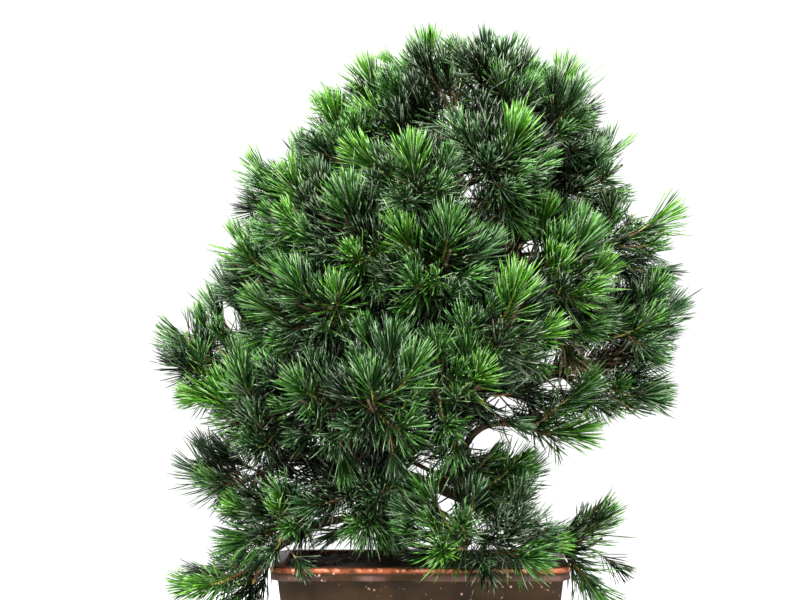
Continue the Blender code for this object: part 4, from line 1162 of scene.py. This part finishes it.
twigMaterials = [
    grainMaterial("old_twig", {"deep": (0.030, 0.016, 0.010), "light": (0.15, 0.080, 0.045), "scale": 320,
                               "roughness": (0.7, 0.95), "bump": 0.4, "bumpDepth": 0.0003}),
    grainMaterial("orange_twig", {"deep": (0.12, 0.050, 0.016), "light": (0.36, 0.20, 0.060), "scale": 380,
                                  "roughness": (0.55, 0.85), "bump": 0.3, "bumpDepth": 0.0002}),
    grainMaterial("young_shoot", {"deep": (0.34, 0.30, 0.045), "light": (0.80, 0.70, 0.20), "scale": 420,
                                  "roughness": (0.45, 0.7), "bump": 0.2, "bumpDepth": 0.0002}),
    grainMaterial("bud_scales", {"deep": (0.20, 0.14, 0.050), "light": (0.50, 0.44, 0.20), "scale": 900,
                                 "roughness": (0.6, 0.85), "bump": 0.3, "bumpDepth": 0.0002})]
twigPieces = makeTwigs(twigMaterials)
print("twigs:", [len(piece.data.polygons) for piece in twigPieces], "faces")


# needles, singly round every shoot, dealt out into tones by shoot and by age

needleLook = {
    "length": 0.0385, "spread": (0.84, 1.08), "width": 0.00106, "jitter": math.radians(7), "crowding": 1.45,
    "lean": (12, 45), "bareClothed": 0.70, "curve": 0.09, "upturn": 0.04, "youngShort": 0.25, "bend": 0.80,
    "strayChance": 0.012, "strayLength": (1.25, 1.5), "pieceLimit": 19000,
    "leftBehind": {"lead": 0.22, "side": 0.14, "fine": 0.0, "inner": 0.0, "core": 0.0, "old": 1.0},
    "vigour": {"lead": (0.94, 1.08), "side": (0.68, 1.0), "fine": (0.62, 0.88), "inner": (0.8, 1.0),
               "core": (0.9, 1.0), "old": (0.8, 0.95)},
    "clothed": {"lead": 0.058, "side": 0.050, "fine": 0.036, "inner": 0.034, "core": 0.060, "old": 0.001},
    "counts": {"lead": 150, "side": 116, "fine": 66, "inner": 56, "core": 60, "old": 44},
    "thickness": {"lead": 1.0, "side": 1.0, "fine": 0.92, "inner": 1.0, "core": 1.5, "old": 1.0}}
toneNames = ("fresh", "green", "blue", "shade", "deep", "dead")
# inner and core shoots take mostly the shade and deep tones, painted shade for needles deep in the crown
toneShares = {"lead": (0.62, 0.34, 0.04, 0.0, 0.0), "side": (0.26, 0.48, 0.22, 0.04, 0.0),
              "fine": (0.05, 0.30, 0.33, 0.27, 0.05), "inner": (0.0, 0.04, 0.14, 0.37, 0.45),
              "core": (0.0, 0.0, 0.0, 0.04, 0.96), "old": (0.0, 0.0, 0.5, 0.5, 0.0)}


def needlesOf(kind, path, bare, chance):
    vigour = chance.uniform(*needleLook["vigour"][kind])
    count = int(needleLook["counts"][kind] * vigour)
    length = runAlong(path)[-1]
    clothed = needleLook["clothed"][kind] * vigour * (needleLook["bareClothed"] if bare else 1)
    clothed = min(clothed, 0.92 * length)
    share = ((np.arange(count) + chance.random(count)) / count)**needleLook["crowding"]  # 0 at the bud
    back = share * clothed
    left = chance.random(count) < needleLook["leftBehind"][kind] * (1 if kind == "old" else share > 0.3)
    back = np.where(left, chance.uniform(clothed, max(0.95 * length, clothed + 0.001), count), back)
    at = pointAlong(path, length - back)
    axis = rowUnit(at - pointAlong(path, length - back - 0.003) + 1e-9)
    guide = np.cross(axis, sideVectors(unit(path[-1] - path[0]))[0])
    first = rowUnit(guide)
    second = np.cross(axis, first)
    turn = np.arange(count) * goldenAngle + chance.normal(0, 0.15, count)
    outward = np.cos(turn)[:, None] * first + np.sin(turn)[:, None] * second
    near, rise = needleLook["lean"]
    lean = np.radians(near + rise * (back / 0.055)**0.6) + chance.normal(0, needleLook["jitter"], count)
    base = at + outward * 0.0008
    heading = rowUnit(np.cos(lean)[:, None] * axis + np.sin(lean)[:, None] * outward)
    young = np.clip(1 - back / 0.012, 0, 1)
    size = needleLook["length"] * vigour * (1 - needleLook["youngShort"] * young)
    size = size * chance.uniform(*needleLook["spread"], len(back))
    stray = chance.random(len(back)) < needleLook["strayChance"] * (kind in ("lead", "side"))
    size = np.where(stray, size * chance.uniform(*needleLook["strayLength"], len(back)), size)
    curve = axis * needleLook["curve"] + np.array([0, 0, needleLook["upturn"]])
    curve = curve + chance.normal(0, 0.04, heading.shape)
    return {"base": base, "heading": heading, "curve": curve, "size": size, "age": np.minimum(back / clothed, 1.2)}


# older needles grow bluer and darker, down to the shade tone, which is painted shade
def pickTones(kind, path, age, chance):  # a shoot has its tone, and its older needles turn bluer and darker
    body = chance.choice(5, p=toneShares[kind])
    draw, second = chance.random(len(age)), chance.random(len(age))
    tone = body + (draw < 0.10 + 0.60 * age) + (second < 0.55 * age - 0.15)
    tone = np.minimum(tone, max(body, 3))
    if kind in ("fine", "inner") and seenIn(path[-4:], deadPatches).any():
        tone = np.where(draw < 0.75, 5, tone)
    return tone


def clearOfTree(needles):
    shares = np.array([0.3, 0.65, 1.0])[None, :, None]
    along = needles["heading"][:, None] + needles["curve"][:, None] * shares
    flat = (needles["base"][:, None] + needles["size"][:, None, None] * shares * along).reshape(-1, 3)
    ragged = np.repeat(np.random.default_rng(crownSeed + 3).uniform(0.55, 1.15, len(needles["size"])), 3)
    clear = outsidePot(flat, 0.0005) & ~inSky(flat, ragged)
    samples = smoothLine(trunkKnots, 90)
    widths = np.interp(samples[:, 2], trunkLine[:, 2], widestTrunk)
    for centre, width in zip(samples, widths):
        clear &= ((flat - centre)**2).sum(1) > (width + 0.0005)**2
    return clear.reshape(-1, 3).all(axis=1)


def gatherNeedles():
    chance = np.random.default_rng(crownSeed + 1)
    rows = []
    for (kind, path), bare in zip(shoots, bareFeet):
        if kind == "stub":
            continue
        needles = needlesOf(kind, path, bare, chance)
        needles["tone"] = pickTones(kind, path, needles["age"], chance)
        needles["width"] = needleLook["width"] * chance.uniform(0.85, 1.15, len(needles["size"]))
        needles["width"] *= needleLook["thickness"][kind]
        rows.append(needles)
    needles = {key: np.concatenate([row[key] for row in rows]) for key in rows[0]}
    clear = clearOfTree(needles)
    return {key: value[clear] for key, value in needles.items()}


def needleMesh(needles):
    count = len(needles["size"])
    guide = np.where(np.abs(needles["heading"][:, 2:]) < 0.9, [[0, 0, 1]], [[1, 0, 0]])
    first = rowUnit(np.cross(guide, needles["heading"]))
    second = np.cross(needles["heading"], first)
    rings = []
    for share, swell in ((0.0, 0.42), (needleLook["bend"], 0.50)):
        middle = needles["base"] + needles["size"][:, None] * (
            needles["heading"] * share + needles["curve"] * share**2)
        for turn in (0.0, math.tau / 3, math.tau * 2 / 3):
            side = math.cos(turn) * first + math.sin(turn) * second
            rings.append(middle + side * (needles["width"] * swell)[:, None])
    tip = needles["base"] + needles["size"][:, None] * (needles["heading"] + needles["curve"])
    points = np.stack(rings + [tip], axis=1).reshape(-1, 3)
    start = np.arange(count)[:, None] * 7
    quads = np.concatenate([start + [side, (side + 1) % 3, 3 + (side + 1) % 3, 3 + side] for side in range(3)])
    tris = np.concatenate([start + [3 + side, 3 + (side + 1) % 3, 6] for side in range(3)] + [start + [2, 1, 0]])
    return points, quads, tris


# the shade and deep tones are painted shade: near-black needles for where shade falls deep in the crown
needleTones = {
    "fresh": ((0.065, 0.270, 0.008), (0.200, 0.520, 0.045)),
    "green": ((0.032, 0.150, 0.010), (0.110, 0.330, 0.040)),
    "blue": ((0.026, 0.098, 0.020), (0.095, 0.230, 0.075)),
    "shade": ((0.008, 0.030, 0.006), (0.038, 0.095, 0.026)),
    "deep": ((0.003, 0.011, 0.002), (0.014, 0.038, 0.008)),
    "dead": ((0.060, 0.030, 0.014), (0.300, 0.190, 0.100))}
# each tone gets a paler copy mixed towards a pale white, a painted highlight, and a darkened copy, painted shade;
# needles take them at random, and about half the tips take the painted highlight
paintedLightMix = {"white": (0.70, 0.80, 0.60), "share": 0.46, "chance": 0.26, "paintedShadeChance": 0.34, "dark": 0.12, "highlightTipChance": 0.5}


def makeNeedles(needles):
    pieces = []
    chance = np.random.default_rng(crownSeed + 2)
    for tone, name in enumerate(toneNames):
        deep, light = needleTones[name]
        # the painted highlight copy: the light tone mixed towards white; the painted shade copy: the deep tone
        # darkened
        highlightTone = tuple((1 - paintedLightMix["share"]) * a + paintedLightMix["share"] * b for a, b in zip(light, paintedLightMix["white"]))
        dark = tuple(paintedLightMix["dark"] * value for value in deep)
        materials = [grainMaterial(f"{name}_needle{ending}", {
            "deep": low, "light": high, "scale": 70, "detail": 2, "roughness": (0.36, 0.58), "specular": 0.26})
            for ending, low, high in (("", deep, light), ("_painted_highlight", light, highlightTone), ("_painted_shade", dark, deep))]
        chosen = np.flatnonzero(needles["tone"] == tone)
        for part, start in enumerate(range(0, len(chosen), needleLook["pieceLimit"])):
            rows = chosen[start:start + needleLook["pieceLimit"]]
            points, quads, tris = needleMesh({key: value[rows] for key, value in needles.items()})
            # each needle takes the plain tone, the painted highlight or the painted shade at random; about half the
            # needle tips are lightened, a painted highlight
            draw = chance.random(len(rows))
            slot = np.where(draw < paintedLightMix["chance"], 1, np.where(draw > 1 - paintedLightMix["paintedShadeChance"], 2, 0))
            highlightTipSlot = np.where(chance.random(len(rows)) < paintedLightMix["highlightTipChance"], np.where(slot == 2, 0, 1), slot)
            slots = np.concatenate([np.tile(highlightTipSlot, 3), slot, np.tile(slot, 3)])
            pieces.append(meshPiece(f"{name}_needles_{part + 1}", points, [tris, quads], materials, slots))
    return pieces


needles = gatherNeedles()
needlePieces = makeNeedles(needles)
print("needles:", len(needles["size"]), "in", len(needlePieces), "pieces")


# which solids each piece stands for, and the finish it takes

dressed = [(pot, ["pot"], "glaze"), (soil, ["soil"], "soil"), (trunkBark, ["trunk"], "bark"),
           (boughBark, boughNames, "bark")]
dressed += [(piece, massNames, "bark") for piece in twigPieces]
dressed += [(piece, massNames, "foliage") for piece in needlePieces]
for piece, nodes, finish in dressed:
    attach(piece, "root")
    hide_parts(*nodes)
triangles = sum(len(face.vertices) - 2 for piece, _, _ in dressed[:6] for face in piece.data.polygons)
print("triangles:", triangles + 10 * len(needles["size"]))
